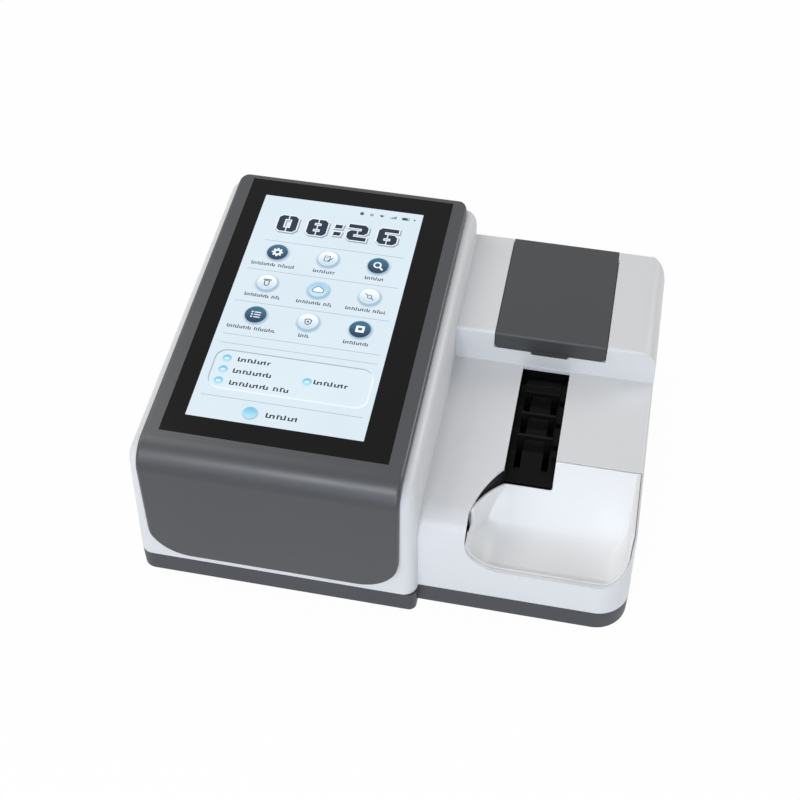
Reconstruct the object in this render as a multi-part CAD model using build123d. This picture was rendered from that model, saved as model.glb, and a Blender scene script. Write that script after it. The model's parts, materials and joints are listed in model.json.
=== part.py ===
from build123d import *
import os
from math import cos, pi, radians, sin, tan

# Table-top urine analyzer. X runs to the right, Y to the rear, Z up, in millimetres.
# The origin is the middle of the footprint, on the surface that the feet stand on.

# Whole machine
width = 320.0
housing_depth = 254.0
foot_height = 2.5
base_height = 17.7
side_draft = 2.0

# Screen tower on the left
tower_width = 185.6
screen_front_height = 121.9
screen_tilt = 3.0
shoulder_drop = 6.5
shoulder_radius = 9.0
tower_roll = 14.0
tower_rear_radius = 5.0

# Lower module on the right
module_setback = 9.8
platform_height = 78.1
platform_roll = 21.0
platform_edge = 3.0
module_front_corner = 21.0
module_rear_corner = 14.0
block_height = 106.0
block_front = 158.3
block_side_radius = 13.0
block_edge = 2.5

# Moulded walls and the gap left where one piece lies on another
wall = 2.5
seam = 0.3
running = 0.05

# Screen bezel, glass and display
bezel_inset = 10.8
bezel_proud = 4.0
bezel_roll = 18.0
bezel_sill = 27.0
bezel_sill_radius = 27.0
bezel_corner = 11.0
bezel_wrap = 14.0
bezel_edge = 2.5
bezel_plate = 4.0
bezel_rear_gap = 1.0
glass_width = 143.2
glass_front = 20.9
glass_rear = 5.7
glass_thickness = 1.8
lcd_width = 122.0
lcd_front = 30.0
lcd_rear = 16.0
lcd_thickness = 6.2
glass_sink = 0.2
glass_play = 0.15
display_side = 11.0
display_end = 4.0
frame_plate = 1.2
frame_lap = 10.0

# Strip channel and its black bed
channel_left = 230.0
channel_width = 31.8
channel_front = 68.5
channel_rear = 157.4
bed_flange = 5.0
bed_wall = 1.6
bed_floor = 68.0
bed_floor_thickness = 2.0
rib_pitch = 19.2
rib_height = 2.6
apron_start = 84.0
apron_lip = 65.0
rail_width = 3.4
rail_height = 3.0

# Walking comb that moves the strips forward, one pitch at a time
comb_bars = 3
first_bar = 99.6
bar_thickness = 2.0
bar_top = 75.6
bar_height = 3.2
lift_travel = 4.5
finger_width = 3.0
finger_length = 5.0
finger_spread = 18.0
slot_clearance = 0.6
comb_floor = 57.0
comb_plate = 2.5
lug_clearance = 1.6
rod_diameter = 4.0
lug_size = 8.0
lug_length = 8.0
rack_offset = 14.5
rack_web = 1.6
rack_width = 4.0
gear_module = 1.0
pinion_teeth = 12
tooth_slack = 0.62

# Lifting carriage under the bed
carriage_front = 84.6
carriage_rear = 142.5
carriage_plate = 2.4
carriage_width = 68.0
carriage_floor = 46.0
carriage_rim = 61.0
carriage_web = 11.0
stop_gap = 0.4
motor_place = 108.0
plunger_place = 126.0
guide_spread = 48.0
motor_size = 20.0
motor_length = 16.0
solenoid_diameter = 22.0
plunger_diameter = 8.0
plunger_reach = 16.0
guide_diameter = 5.0

# Strip reader under the rear end of the bed
reader_width = 27.0
reader_length = 9.0
reader_height = 16.0
window_length = 5.0
window_width = 24.0
window_thickness = 1.2

# Lift-out strip tray
tray_left = 213.8
tray_margin = 3.7
tray_front = 13.6
tray_sweep = 77.0
tray_sweep_start = 20.0
tray_sweep_turn = 39.0
rim_dip_start = 33.0
rim_dip = 16.0
tray_floor = 38.0
tray_lip = 44.0
tray_wall = 1.8
tray_corner = 24.0
tray_right_corner = 16.0
tray_bend = 22.0
ramp_top = 80.0
ramp_angle = 51.0
tray_lift = 45.0

# Printer in the rear block
door_left = 209.4
door_width = 74.2
door_thickness = 3.0
door_gap = 0.5
door_skirt = 13.7
door_corner = 4.0
door_proud = 0.4
tab_width = 24.0
tab_reach = 1.4
tab_proud = 0.9
hinge_inset = 5.5
hinge_drop = 5.0
barrel_radius = 6.2
pin_diameter = 3.0
knuckle_diameter = 6.4
knuckle_width = 6.0
lug_gap = 1.0
lug_plate = 3.0
door_opening = 95.0
paper_width = 57.0
roll_radius = 21.0
core_radius = 6.2
core_wall = 1.4
roll_depth = 214.0
roll_height = 74.0
cradle_gap = 1.2
platen_radius = 5.0
platen_axle = 2.0
platen_depth = 171.0
platen_height = 96.2
printer_gear_module = 0.6
platen_teeth = 20
driver_teeth = 16
gear_width = 2.6
printer_motor_diameter = 18.0
printer_motor_length = 17.0
head_thickness = 3.0
head_depth = 12.0
free_play = 0.3
small_screw = 2.5
small_head = 5.0

# Electronics and rear sockets
board_thickness = 1.6
board_height = 18.5
board_left = 19.0
board_gap = 1.0
board_width = 130.0
board_length = 110.0
power_board_width = 28.0
power_board_length = 76.0
chip_size = 24.0
chip_height = 2.4
standoff = 6.0
coil_diameter = 14.0
coil_height = 14.0
capacitor_diameter = 12.0
capacitor_height = 18.0
regulator_size = 16.0
regulator_height = 9.0
speaker_place = 44.0
speaker_diameter = 28.0
speaker_height = 4.0
vent_slots = 12
vent_pitch = 6.0
vent_width = 2.5
vent_rise = 58.0
vent_height = 22.0
port_sink = 0.3
serial_place = 36.0
serial_width = 30.8
serial_height = 12.4
serial_depth = 11.0
usb_place = 72.0
usb_width = 14.6
usb_height = 7.2
usb_depth = 14.0
network_place = 98.0
network_width = 16.2
network_height = 13.6
network_depth = 18.0
inlet_place = 56.0
switch_place = 30.0
socket_height = 40.0
inlet_width = 14.0
inlet_rise = 12.0
switch_width = 15.0
switch_rise = 21.0
rocker_tilt = 7.0

# Feet and screws
foot_diameter = 15.0
foot_inset = 20.0
screw_diameter = 3.0
screw_head = 6.0
boss_size = 8.5
boss_inset = 12.0
screw_sink = 5.0
screw_head_height = 2.2
base_bevel = 1.2
board_post = 5.0
tray_post = 7.0
tray_post_spread = 44.0
tray_post_front = 21.0
tray_post_rear = 34.0

# Places worked out from the sizes above
left = -width / 2
right = width / 2
draft = tan(radians(side_draft))
bezel_reach = bezel_proud - (bezel_sill - base_height) * draft
front = bezel_reach - (housing_depth + bezel_reach) / 2
rear = front + housing_depth
tower_right = left + tower_width
tower_middle = left + tower_width / 2
module_front = front + module_setback
tray_right = width - tray_margin
glass_length = housing_depth - glass_front - glass_rear
lcd_length = housing_depth - lcd_front - lcd_rear
base_top = foot_height + base_height
platform_top = foot_height + platform_height
block_top = foot_height + block_height
block_face = front + block_front
slope = tan(radians(screen_tilt))
channel_middle = left + channel_left + channel_width / 2
rod_spread = carriage_width - 2 * carriage_plate - lug_size - 2 * lug_clearance
door_middle = left + door_left + door_width / 2
screen_plane = Plane(
    origin=(tower_middle, front, foot_height + screen_front_height),
    x_dir=(1, 0, 0),
    z_dir=(0, -sin(radians(screen_tilt)), cos(radians(screen_tilt))),
)


def block(x0, x1, y0, y1, z0, z1):
    """Box between two corners."""
    middle = ((x0 + x1) / 2, (y0 + y1) / 2, (z0 + z1) / 2)
    return Pos(*middle) * Box(x1 - x0, y1 - y0, z1 - z0)


def rod_x(x0, x1, y, z, radius):
    """Cylinder along X."""
    return Pos((x0 + x1) / 2, y, z) * Rot(0, 90, 0) * Cylinder(radius, x1 - x0)


def rod_y(x, y0, y1, z, radius):
    """Cylinder along Y."""
    return Pos(x, (y0 + y1) / 2, z) * Rot(90, 0, 0) * Cylinder(radius, y1 - y0)


def rod_z(x, y, z0, z1, radius):
    """Cylinder along Z."""
    return Pos(x, y, (z0 + z1) / 2) * Cylinder(radius, z1 - z0)


def outline(points, radii):
    """Closed face through the points, with corner i rounded by radii[i]."""
    face = make_face(Polyline(*points, close=True))
    for (across, up), radius in zip(points, radii):
        if radius > 0:
            corner = face.vertices().sort_by_distance((across, up, 0))[0]
            face = fillet(corner, radius)
    return face


def along_x(face, x0, x1):
    """Extrude a face drawn in Y and Z."""
    return extrude(Plane.YZ.offset(x0) * face, amount=x1 - x0)


def along_y(face, y0, y1):
    """Extrude a face drawn in X and Z."""
    return extrude(Plane.XZ.offset(-y1) * face, amount=y1 - y0)


def along_z(face, z0, z1):
    """Extrude a face drawn in X and Y."""
    return extrude(Plane.XY.offset(z0) * face, amount=z1 - z0)


def prism_z(x, y, z0, z1, radius, sides):
    """Upright bar with flat sides and its corners on the radius."""
    return along_z(Pos(x, y) * RegularPolygon(radius, sides), z0, z1)


def post_z(x, y, z0, z1, size):
    """Square upright post."""
    return block(x - size / 2, x + size / 2, y - size / 2, y + size / 2, z0, z1)


def gear_outline(teeth, module):
    """Spur gear with straight flanks, thinned so that a pair runs with play."""
    pitch_radius = teeth * module / 2
    tip = pitch_radius + 0.9 * module
    root = pitch_radius - 1.15 * module
    step = 2 * pi / teeth
    half_tip = 0.13 * step
    half_root = tooth_slack * step / 2 * 0.8
    points = []
    for tooth in range(teeth):
        middle = tooth * step
        for radius, angle in (
            (root, middle - half_root),
            (tip, middle - half_tip),
            (tip, middle + half_tip),
            (root, middle + half_root),
        ):
            points.append((radius * cos(angle), radius * sin(angle)))
    return make_face(Polyline(*points, close=True))


def gear_x(teeth, module, x0, x1, y, z, turn):
    """Gear on an axle along X, with its first tooth turned from +Y towards +Z."""
    shape = Pos(y, z) * Rot(0, 0, turn) * gear_outline(teeth, module)
    return along_x(shape, x0, x1)


def shoulder_z(y):
    """Height of the tower's sloping top at y."""
    return foot_height + screen_front_height - shoulder_drop + (y - front) * slope


def tower_form(inset):
    """Tower block: drafted side walls, sloping top and rolled front."""
    top_rise = 140.0
    shift = top_rise * draft
    section = outline(
        [
            (left + inset, base_top),
            (tower_right - inset, base_top),
            (tower_right - inset - shift, base_top + top_rise),
            (left + inset + shift, base_top + top_rise),
        ],
        [0, 0, 0, 0],
    )
    sides = along_y(section, front - 10 * wall, rear + 10 * wall)
    rise = (shoulder_z(front + inset) - inset - base_top) / (1 - draft * slope)
    corner = (front + inset + rise * draft, base_top + rise)
    profile = outline(
        [
            (front + inset, base_top),
            corner,
            (rear - inset, shoulder_z(rear - inset) - inset),
            (rear - inset, base_top),
        ],
        [0, tower_roll - inset, tower_rear_radius - inset / 2, 0],
    )
    form = sides & along_x(profile, left - wall, tower_right + wall)
    flanks = form.faces().sort_by(Axis.X)
    edges = flanks[0].edges() + flanks[-1].edges()
    edges = edges.filter_by(lambda edge: edge.center().Z > base_top + 1)
    return fillet(edges, shoulder_radius - inset)


def quarter(x, y, radius, start):
    """Four points on a quarter circle, for corners inside the case."""
    points = []
    for turn in (0, 30, 60, 90):
        angle = radians(start + turn)
        points.append((x + radius * cos(angle), y + radius * sin(angle)))
    return points


def inner_module_plan(inset, shift):
    """Plan of the lower module's hollow."""
    x1 = right - inset - shift
    y0 = module_front + inset + shift
    y1 = rear - inset
    radius = module_front_corner - inset
    points = [(tower_right - 4 * wall, y0)]
    points = points + quarter(x1 - radius, y0 + radius, radius, -90)
    radius = module_rear_corner - inset
    points = points + quarter(x1 - radius, y1 - radius, radius, 0)
    points.append((tower_right - 4 * wall, y1))
    return make_face(Polyline(*points, close=True))


def module_plan(inset, shift):
    """Plan of the lower module; shift is how far its draft has drawn it in."""
    if inset > 0:
        return inner_module_plan(inset, shift)
    return outline(
        [
            (tower_right - 4 * wall, module_front + inset + shift),
            (right - inset - shift, module_front + inset + shift),
            (right - inset - shift, rear - inset),
            (tower_right - 4 * wall, rear - inset),
        ],
        [0, module_front_corner - inset, module_rear_corner - inset, 0],
    )


def module_form(inset):
    """Lower module: platform with a rolled front, and the block behind it."""
    rise = block_top - inset - base_top
    bottom = Pos(0, 0, base_top) * module_plan(inset, 0)
    top = Pos(0, 0, base_top + rise) * module_plan(inset, rise * draft)
    sides = loft([bottom, top], ruled=True)
    reach = (platform_top - inset - base_top) * draft
    profile = outline(
        [
            (module_front + inset, base_top),
            (module_front + inset + reach, platform_top - inset),
            (block_face + inset, platform_top - inset),
            (block_face + inset, block_top - inset),
            (rear - inset, block_top - inset),
            (rear - inset, base_top),
        ],
        [0, platform_roll - inset, 0, block_edge - inset / 2, block_edge - inset / 2, 0],
    )
    start = tower_right - 4 * wall
    body = sides & along_x(profile, start, right + wall)
    wall_platform = right - inset - (platform_top - inset - base_top) * draft
    platform_cut = outline(
        [
            (start, base_top),
            (right - inset, base_top),
            (wall_platform, platform_top - inset),
            (start, platform_top - inset),
        ],
        [0, 0, max(platform_edge - inset, 0.4), 0],
    )
    wall_block = right - inset - rise * draft
    block_cut = outline(
        [
            (start, base_top),
            (right - inset, base_top),
            (wall_block, block_top - inset),
            (start, block_top - inset),
        ],
        [0, 0, block_side_radius - inset, 0],
    )
    low_part = body & along_y(platform_cut, module_front - wall, block_face + inset)
    return low_part + (body & along_y(block_cut, block_face + inset, rear + wall))


def tray_plan(inset):
    """Plan of the tray at its rim, drawn in by inset, with its sweeping rear left side."""
    x0 = left + tray_left + inset
    x1 = left + tray_right - inset
    y0 = front + tray_front + inset
    y1 = front + ramp_top + tray_wall
    sweep_y = front + tray_sweep_start
    radius = tray_sweep - inset
    half_turn = radians(tray_sweep_turn / 2)
    full_turn = radians(tray_sweep_turn)
    arc_middle = (x0 + radius * (1 - cos(half_turn)), sweep_y + radius * sin(half_turn))
    arc_end = (x0 + radius * (1 - cos(full_turn)), sweep_y + radius * sin(full_turn))
    side = Line((x0, y0), (x0, sweep_y))
    sweep = ThreePointArc((x0, sweep_y), arc_middle, arc_end)
    behind = (left + channel_left + channel_width, y1)
    rest = Polyline(arc_end, behind, (x1, y1), (x1, y0), (x0, y0))
    face = make_face([side, sweep, rest])
    corner = face.vertices().sort_by_distance((x1, y0, 0))[0]
    return fillet(corner, module_front_corner - (right - left - tray_right) - inset)


def scoop(inset):
    """The scooped hollow: rounded floor corners, a steep rear ramp and a front wall."""
    floor = foot_height + tray_floor - tray_wall + inset
    x0 = left + tray_left + inset
    x1 = left + tray_right - inset
    sky = platform_top + tray_lift
    section = outline(
        [(x0, sky), (x0, floor), (x1, floor), (x1, sky)],
        [0, tray_corner - inset, tray_right_corner - inset, 0],
    )
    incline = radians(ramp_angle)
    ramp_y = front + ramp_top + (tray_wall - inset) / sin(incline)
    run = (platform_top - floor) / tan(incline)
    y0 = front + tray_front + inset
    profile = outline(
        [(y0, sky), (y0, floor), (ramp_y - run, floor), (ramp_y, platform_top), (ramp_y, sky)],
        [0, 6.0 - inset, tray_bend - inset, 0, 0],
    )
    form = along_y(section, y0 - 1, ramp_y + 1)
    form = form & along_x(profile, x0 - 1, x1 + 1)
    return form & along_z(tray_plan(inset), floor - 1, sky)


def front_mouth(play):
    """Rounded dip in the front wall, down to the tray's lip."""
    lip = foot_height + tray_lip
    x0 = left + tray_left - play
    x1 = left + tray_right + play
    section = outline(
        [(x0, platform_top + 40), (x0, lip), (x1, lip), (x1, platform_top + 40)],
        [0, tray_corner, tray_right_corner, 0],
    )
    return along_y(section, module_front - wall, module_front + module_front_corner)


def strip_tray():
    """White scooped tray that catches the used strips and lifts out."""
    tray = scoop(0) - scoop(tray_wall)
    tray = tray & module_form(0)
    tray = tray - front_mouth(0)
    channel_end = left + channel_left + channel_width
    dip_end = channel_front - seam
    dip = make_face(
        Polyline(
            (front + rim_dip_start, platform_top),
            (front + dip_end, platform_top - rim_dip),
            (front + ramp_top + 5, platform_top - rim_dip),
            (front + ramp_top + 5, platform_top + 5),
            (front + rim_dip_start, platform_top + 5),
            close=True,
        )
    )
    tray = tray - along_x(dip, left + tray_left - 5, channel_end)
    behind = block(
        left + tray_left - 5, channel_end, front + dip_end, front + ramp_top + 5,
        foot_height, platform_top + 5,
    )
    tray = tray - behind
    past_ramp = block(left, right, front + ramp_top, rear, foot_height, platform_top + 5)
    return tray - past_ramp


def display_box(half_width, s0, s1, z0, z1):
    """Box in the screen's own plane; s runs up the slope from the tower's front."""
    place = Pos(0, (s0 + s1) / 2, (z0 + z1) / 2)
    return screen_plane * place * Box(2 * half_width, s1 - s0, z1 - z0)


def port_places():
    """Sockets of the main board: name, middle X, width, height and depth."""
    return [
        ("serial_port", left + serial_place, serial_width, serial_height, serial_depth),
        ("usb_port", left + usb_place, usb_width, usb_height, usb_depth),
        ("network_port", left + network_place, network_width, network_height, network_depth),
    ]


port_floor = foot_height + board_height + board_thickness
socket_z = foot_height + socket_height
inlet_x = tower_right - inlet_place
switch_x = tower_right - switch_place


def rear_cutouts():
    """Openings in the rear wall for the sockets, the inlet and the switch."""
    cuts = []
    for _name, x, port_width, port_rise, _depth in port_places():
        cuts.append(
            block(
                x - port_width / 2 - seam, x + port_width / 2 + seam,
                rear - 2 * wall, rear + wall, port_floor - seam, port_floor + port_rise + seam,
            )
        )
    for x, socket_width, socket_rise in (
        (inlet_x, inlet_width, inlet_rise),
        (switch_x, switch_width, switch_rise),
    ):
        cuts.append(
            block(
                x - socket_width / 2 - seam, x + socket_width / 2 + seam,
                rear - 2 * wall, rear + wall,
                socket_z - socket_rise / 2 - seam, socket_z + socket_rise / 2 + seam,
            )
        )
    return cuts


def rear_vents():
    """Row of slots high in the tower's rear wall."""
    slots = []
    for number in range(vent_slots):
        x = tower_middle + (number - (vent_slots - 1) / 2) * vent_pitch
        z0 = base_top + vent_rise
        half = vent_width / 2
        slots.append(block(x - half, x + half, rear - 2 * wall, rear + wall, z0, z0 + vent_height))
    return slots


def screw_places():
    """Where the case screws go through the base, and how far each pillar rises."""
    near = boss_inset
    tall = shoulder_z(front) - 5 * wall
    low = foot_height + tray_floor - tray_wall - 4 * wall
    return [
        (left + near, front + near, tall, -1),
        (tower_right - near, front + near, tall, 0),
        (right - near, module_front + 2 * near, low, 1),
        (right - near, rear - near, block_top - 5 * wall, 1),
        (tower_right - near, rear - near, tall, 0),
        (left + near, rear - near, tall, -1),
    ]


def housing_pillars():
    """Screw pillars that come down to the base, each webbed to the nearest wall."""
    pillars = []
    for x, y, top, side in screw_places():
        pillar = post_z(x, y, base_top, top, boss_size)
        web_top = min(top, base_top + 40)
        if side < 0:
            web = block(left + wall / 2, x, y - 0.8, y + 0.8, base_top + 2, web_top)
        elif side > 0:
            web = block(x, right - wall, y - 0.8, y + 0.8, base_top + 2, min(web_top, base_top + 25))
        else:
            ends = (front + wall / 2, y) if y < 0 else (y, rear - wall / 2)
            web = block(x - 0.8, x + 0.8, ends[0], ends[1], base_top + 2, web_top)
        hole = prism_z(x, y, base_top - 1, base_top + 14, screw_diameter / 2 + 2 * running, 8)
        pillars.append((pillar + web) - hole)
    return pillars


def main_housing():
    """White upper case: one hollow moulding over the tower and the module."""
    shell = tower_form(0) + module_form(0)
    shell = shell - tower_form(wall) - module_form(wall)
    for cut in rear_cutouts() + rear_vents():
        shell = shell - cut
    window = display_box(
        lcd_width / 2 + display_side, lcd_front - display_end,
        lcd_front + lcd_length + display_end, -40, 10,
    )
    shell = shell - window
    channel = block(
        left + channel_left, left + channel_left + channel_width,
        front + channel_front - 4, front + channel_rear,
        platform_top - 2 * wall, platform_top + wall,
    )
    shell = shell - channel
    drop = along_z(tray_plan(-seam), foot_height + tray_floor - 12, platform_top + 40)
    past_ramp = block(left, right, front + ramp_top + seam, rear, foot_height, platform_top + 50)
    shell = shell - front_mouth(seam) - (drop - past_ramp)
    door0 = left + door_left - door_gap
    door1 = left + door_left + door_width + door_gap
    notch = block_top - door_skirt - door_gap
    low_roof = block_top - wall - 1
    shell = shell - block(door0, door1, block_face - wall, rear + wall, low_roof, block_top + wall)
    shell = shell - block(door0, door1, block_face - wall, block_face + 2 * wall, notch, block_top)
    rear_notch = block_top - hinge_drop - hinge_inset - door_gap
    shell = shell - block(door0, door1, rear - 2 * wall, rear + wall, rear_notch, block_top)
    thumb = block(
        door_middle - tab_width / 2 - 1, door_middle + tab_width / 2 + 1,
        block_face - wall, block_face + 2 * wall, notch - tab_reach, notch + 1,
    )
    shell = shell - thumb
    for pillar in housing_pillars():
        shell = shell + pillar
    return shell


def bezel_form():
    """Outside of the dark bezel: over the top, round the front and down to its sill."""
    half = (tower_width - 2 * bezel_inset) / 2
    screen_z = foot_height + screen_front_height
    sill = foot_height + bezel_sill
    front_y = front - bezel_proud + (sill - base_top) * draft
    rise = (screen_z + (front_y - front) * slope - sill) / (1 - draft * slope)
    crest = (front_y + rise * draft, sill + rise)
    back = rear - bezel_rear_gap
    profile = outline(
        [
            (front_y, sill),
            crest,
            (back, screen_z + (back - front) * slope),
            (back, screen_z - bezel_wrap),
            (front + 4 * bezel_roll, sill),
        ],
        [0, bezel_roll, bezel_edge, 0, 0],
    )
    form = along_x(profile, tower_middle - half, tower_middle + half)
    flanks = form.faces().sort_by(Axis.X)
    edges = flanks[0].edges() + flanks[-1].edges()
    under_z = (screen_z - bezel_wrap + sill) / 2
    edges = edges.filter_by(lambda edge: edge.center().Z > sill + 1)
    edges = edges.filter_by(lambda edge: edge.center().Y < back - 1)
    edges = edges.filter_by(lambda edge: edge.center().Y < front + 10 or abs(edge.center().Z - under_z) > 8)
    form = fillet(edges, bezel_edge)
    face_on = outline(
        [
            (tower_middle - half, sill),
            (tower_middle + half, sill),
            (tower_middle + half, screen_z + 3 * wall + 20),
            (tower_middle - half, screen_z + 3 * wall + 20),
        ],
        [bezel_sill_radius, bezel_sill_radius, 0, 0],
    )
    plan = outline(
        [
            (tower_middle - half, front - 2 * bezel_proud),
            (tower_middle + half, front - 2 * bezel_proud),
            (tower_middle + half, back),
            (tower_middle - half, back),
        ],
        [0, 0, bezel_corner, bezel_corner],
    )
    form = form & along_y(face_on, front - 3 * bezel_proud, rear)
    return form & along_z(plan, foot_height, screen_z + 40)


def bezel_bosses():
    """Where the display frame's screws enter the bezel: X and place on the slope."""
    across = lcd_width / 2 + frame_lap - boss_size / 2
    places = []
    for share in (0.08, 0.5, 0.92):
        for side in (-1, 1):
            places.append((side * across, lcd_front + share * lcd_length))
    return places


def bezel_shell():
    """Dark bezel moulding with the glass recess, display window and screw bosses."""
    shell = bezel_form() - tower_form(-seam)
    half = (tower_width - 2 * bezel_inset) / 2 - bezel_plate
    hollow = display_box(half, bezel_roll, glass_front + glass_length + 1, -40, -bezel_plate)
    shell = shell - hollow
    recess = display_box(
        glass_width / 2 + glass_play, glass_front - glass_play,
        glass_front + glass_length + glass_play, -glass_sink - glass_thickness, 5,
    )
    shell = shell - recess
    window = display_box(
        lcd_width / 2 + seam, lcd_front - seam, lcd_front + lcd_length + seam, -20, 5
    )
    shell = shell - window
    depth = glass_sink + glass_thickness + glass_play + lcd_thickness + glass_play
    for across, along in bezel_bosses():
        middle = -(bezel_plate + depth) / 2
        boss = Box(boss_size, boss_size, depth - bezel_plate)
        pilot = prism_z(0, 0, -depth, depth, screw_diameter / 2 + 2 * running, 8)
        pilot = pilot & Box(boss_size, boss_size, depth - bezel_plate + 1)
        place = screen_plane * Pos(across, along, middle)
        shell = (shell + place * boss) - place * pilot
    return shell


def touch_glass():
    """Black-edged cover glass, sunk into the bezel."""
    sheet = outline(
        [
            (-glass_width / 2, glass_front),
            (glass_width / 2, glass_front),
            (glass_width / 2, glass_front + glass_length),
            (-glass_width / 2, glass_front + glass_length),
        ],
        [0.6, 0.6, 0.6, 0.6],
    )
    underside = screen_plane * Pos(0, 0, -glass_sink - glass_thickness)
    return extrude(underside * sheet, amount=glass_thickness)


def lcd_top():
    """Depth of the display's face under the screen plane."""
    return glass_sink + glass_thickness + glass_play


def lcd_panel():
    """Display module: glass stack in a thin metal tray, with its driver strip."""
    top = -lcd_top()
    bottom = top - lcd_thickness
    panel = display_box(lcd_width / 2, lcd_front, lcd_front + lcd_length, bottom, top)
    strip = display_box(
        lcd_width / 4, lcd_front + 10, lcd_front + 26, bottom - 1.0, bottom + 0.5
    )
    return panel + strip


def display_frame():
    """Sheet-metal frame that clamps the display up against the bezel."""
    top = -lcd_top() - lcd_thickness - glass_play
    half = lcd_width / 2 + frame_lap
    plate = display_box(half, lcd_front, lcd_front + lcd_length, top - frame_plate, top)
    hole = display_box(
        lcd_width / 2 - frame_lap, lcd_front + 2.8 * frame_lap,
        lcd_front + lcd_length - frame_lap, top - 5, top + 5,
    )
    near_end = display_box(
        lcd_width / 4 + 3, lcd_front - 1, lcd_front + 2.9 * frame_lap, top - 5, top + 5
    )
    plate = plate - hole - near_end
    for across, along in bezel_bosses():
        hole = prism_z(across, along, top - 5, top + 5, screw_diameter / 2 + 2 * running, 8)
        plate = plate - screen_plane * hole
    return plate


def display_screws():
    """Six screws that hold the display frame to the bezel."""
    head_top = -lcd_top() - lcd_thickness - glass_play - frame_plate
    screws = []
    for across, along in bezel_bosses():
        head = prism_z(across, along, head_top - screw_head_height, head_top, screw_head / 2, 6)
        shank = prism_z(across, along, head_top - 0.5, head_top + 4.0, screw_diameter / 2, 8)
        screws.append(screen_plane * (head + shank))
    return Compound(children=screws)


def base_plan(inset):
    """Plan of the base: tower and set-back module in one outline."""
    return outline(
        [
            (left + inset, front + inset),
            (tower_right - inset, front + inset),
            (tower_right - inset, module_front + inset),
            (right - inset, module_front + inset),
            (right - inset, rear - inset),
            (left + inset, rear - inset),
        ],
        [
            shoulder_radius - inset, 5.0 - inset, 0,
            module_front_corner - inset, module_rear_corner - inset, shoulder_radius - inset,
        ],
    )


def board_posts():
    """Standoffs of the main board."""
    x0 = left + board_left + 6
    y1 = rear - wall - board_gap - 6
    return [
        (x0, y1), (x0 + board_width - 12, y1),
        (x0, y1 - board_length + 12), (x0 + board_width - 12, y1 - board_length + 12),
    ]


def tray_posts():
    """Pillars of the base that the tray stands on."""
    middle = left + (tray_left + tray_right) / 2
    places = []
    for y in (front + tray_post_front, front + tray_post_rear):
        for side in (-1, 1):
            places.append((middle + side * tray_post_spread / 2, y))
    return places


def foot_places():
    """Middles of the four rubber feet."""
    near = foot_inset
    return [
        (left + near, front + near), (right - near - 4, module_front + near),
        (right - near, rear - near), (left + near, rear - near),
    ]


def base_pan():
    """Dark base tray with its screw bosses, standoffs and tray pillars."""
    floor = foot_height + wall
    pan = along_z(base_plan(0), foot_height, base_top)
    bottom = pan.faces().sort_by(Axis.Z)[0]
    pan = chamfer(bottom.edges(), base_bevel)
    pan = pan - along_z(base_plan(wall), floor, base_top + 1)
    for x, y, _top, _side in screw_places():
        pan = pan + post_z(x, y, foot_height + base_bevel, base_top, boss_size)
        pan = pan - prism_z(x, y, foot_height - 1, base_top + 1, screw_diameter / 2 + 2 * running, 8)
        pan = pan - prism_z(x, y, foot_height - 1, foot_height + screw_sink, screw_head / 2 + seam, 12)
    for x, y in board_posts():
        pan = pan + post_z(x, y, floor - 1, foot_height + board_height, board_post)
    for x, y in tray_posts():
        pan = pan + post_z(x, y, floor - 1, foot_height + tray_floor - tray_wall - seam, tray_post)
    return pan


def rubber_feet():
    """Four round feet under the base."""
    feet = []
    for x, y in foot_places():
        feet.append(rod_z(x, y, 0, foot_height, foot_diameter / 2))
    return Compound(children=feet)


def base_screws():
    """Six case screws, their heads sunk in the base."""
    screws = []
    for x, y, _top, _side in screw_places():
        z0 = foot_height + screw_sink - screw_head_height
        head = prism_z(x, y, z0, foot_height + screw_sink, screw_head / 2, 6)
        shank = prism_z(x, y, foot_height + screw_sink - 0.5, base_top + 12, screw_diameter / 2, 8)
        screws.append(head + shank)
    return Compound(children=screws)


def main_board():
    """Main circuit board with its larger chips."""
    x0 = left + board_left
    y1 = rear - wall - board_gap
    z0 = foot_height + board_height
    board = block(x0, x0 + board_width, y1 - board_length, y1, z0, z0 + board_thickness)
    top = z0 + board_thickness
    for across, along, wide, deep, tall in (
        (0.30, 0.45, 1.0, 1.0, 1.0), (0.62, 0.50, 0.6, 0.8, 0.7), (0.82, 0.35, 0.5, 0.5, 0.8),
        (0.20, 0.15, 1.2, 0.3, 2.9), (0.70, 0.15, 1.6, 0.3, 2.9),
    ):
        x = x0 + across * board_width
        y = y1 - (1 - along) * board_length
        half_x = wide * chip_size / 2
        half_y = deep * chip_size / 2
        board = board + block(
            x - half_x, x + half_x, y - half_y, y + half_y, top - 0.2, top + tall * chip_height
        )
    return board


def power_board():
    """Regulator board on four feet, with its coil, capacitor and heat sink."""
    x0 = left + board_left + board_width + standoff
    y1 = rear - 5 * standoff
    y0 = y1 - power_board_length
    z0 = foot_height + wall + standoff
    board = block(x0, x0 + power_board_width, y0, y1, z0, z0 + board_thickness)
    for x in (x0 + board_post, x0 + power_board_width - board_post):
        for y in (y0 + board_post, y1 - board_post):
            board = board + post_z(x, y, foot_height + wall, z0 + 0.2, board_post)
    top = z0 + board_thickness
    x = x0 + power_board_width / 2
    coil_y = y1 - 0.25 * power_board_length
    capacitor_y = y1 - 0.5 * power_board_length
    board = board + rod_z(x, coil_y, top - 0.2, top + coil_height, coil_diameter / 2)
    board = board + prism_z(x, capacitor_y, top - 0.2, top + capacitor_height, capacitor_diameter / 2, 16)
    sink_y = y0 + 0.2 * power_board_length
    return board + post_z(x, sink_y, top - 0.2, top + regulator_height, regulator_size)


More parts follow.
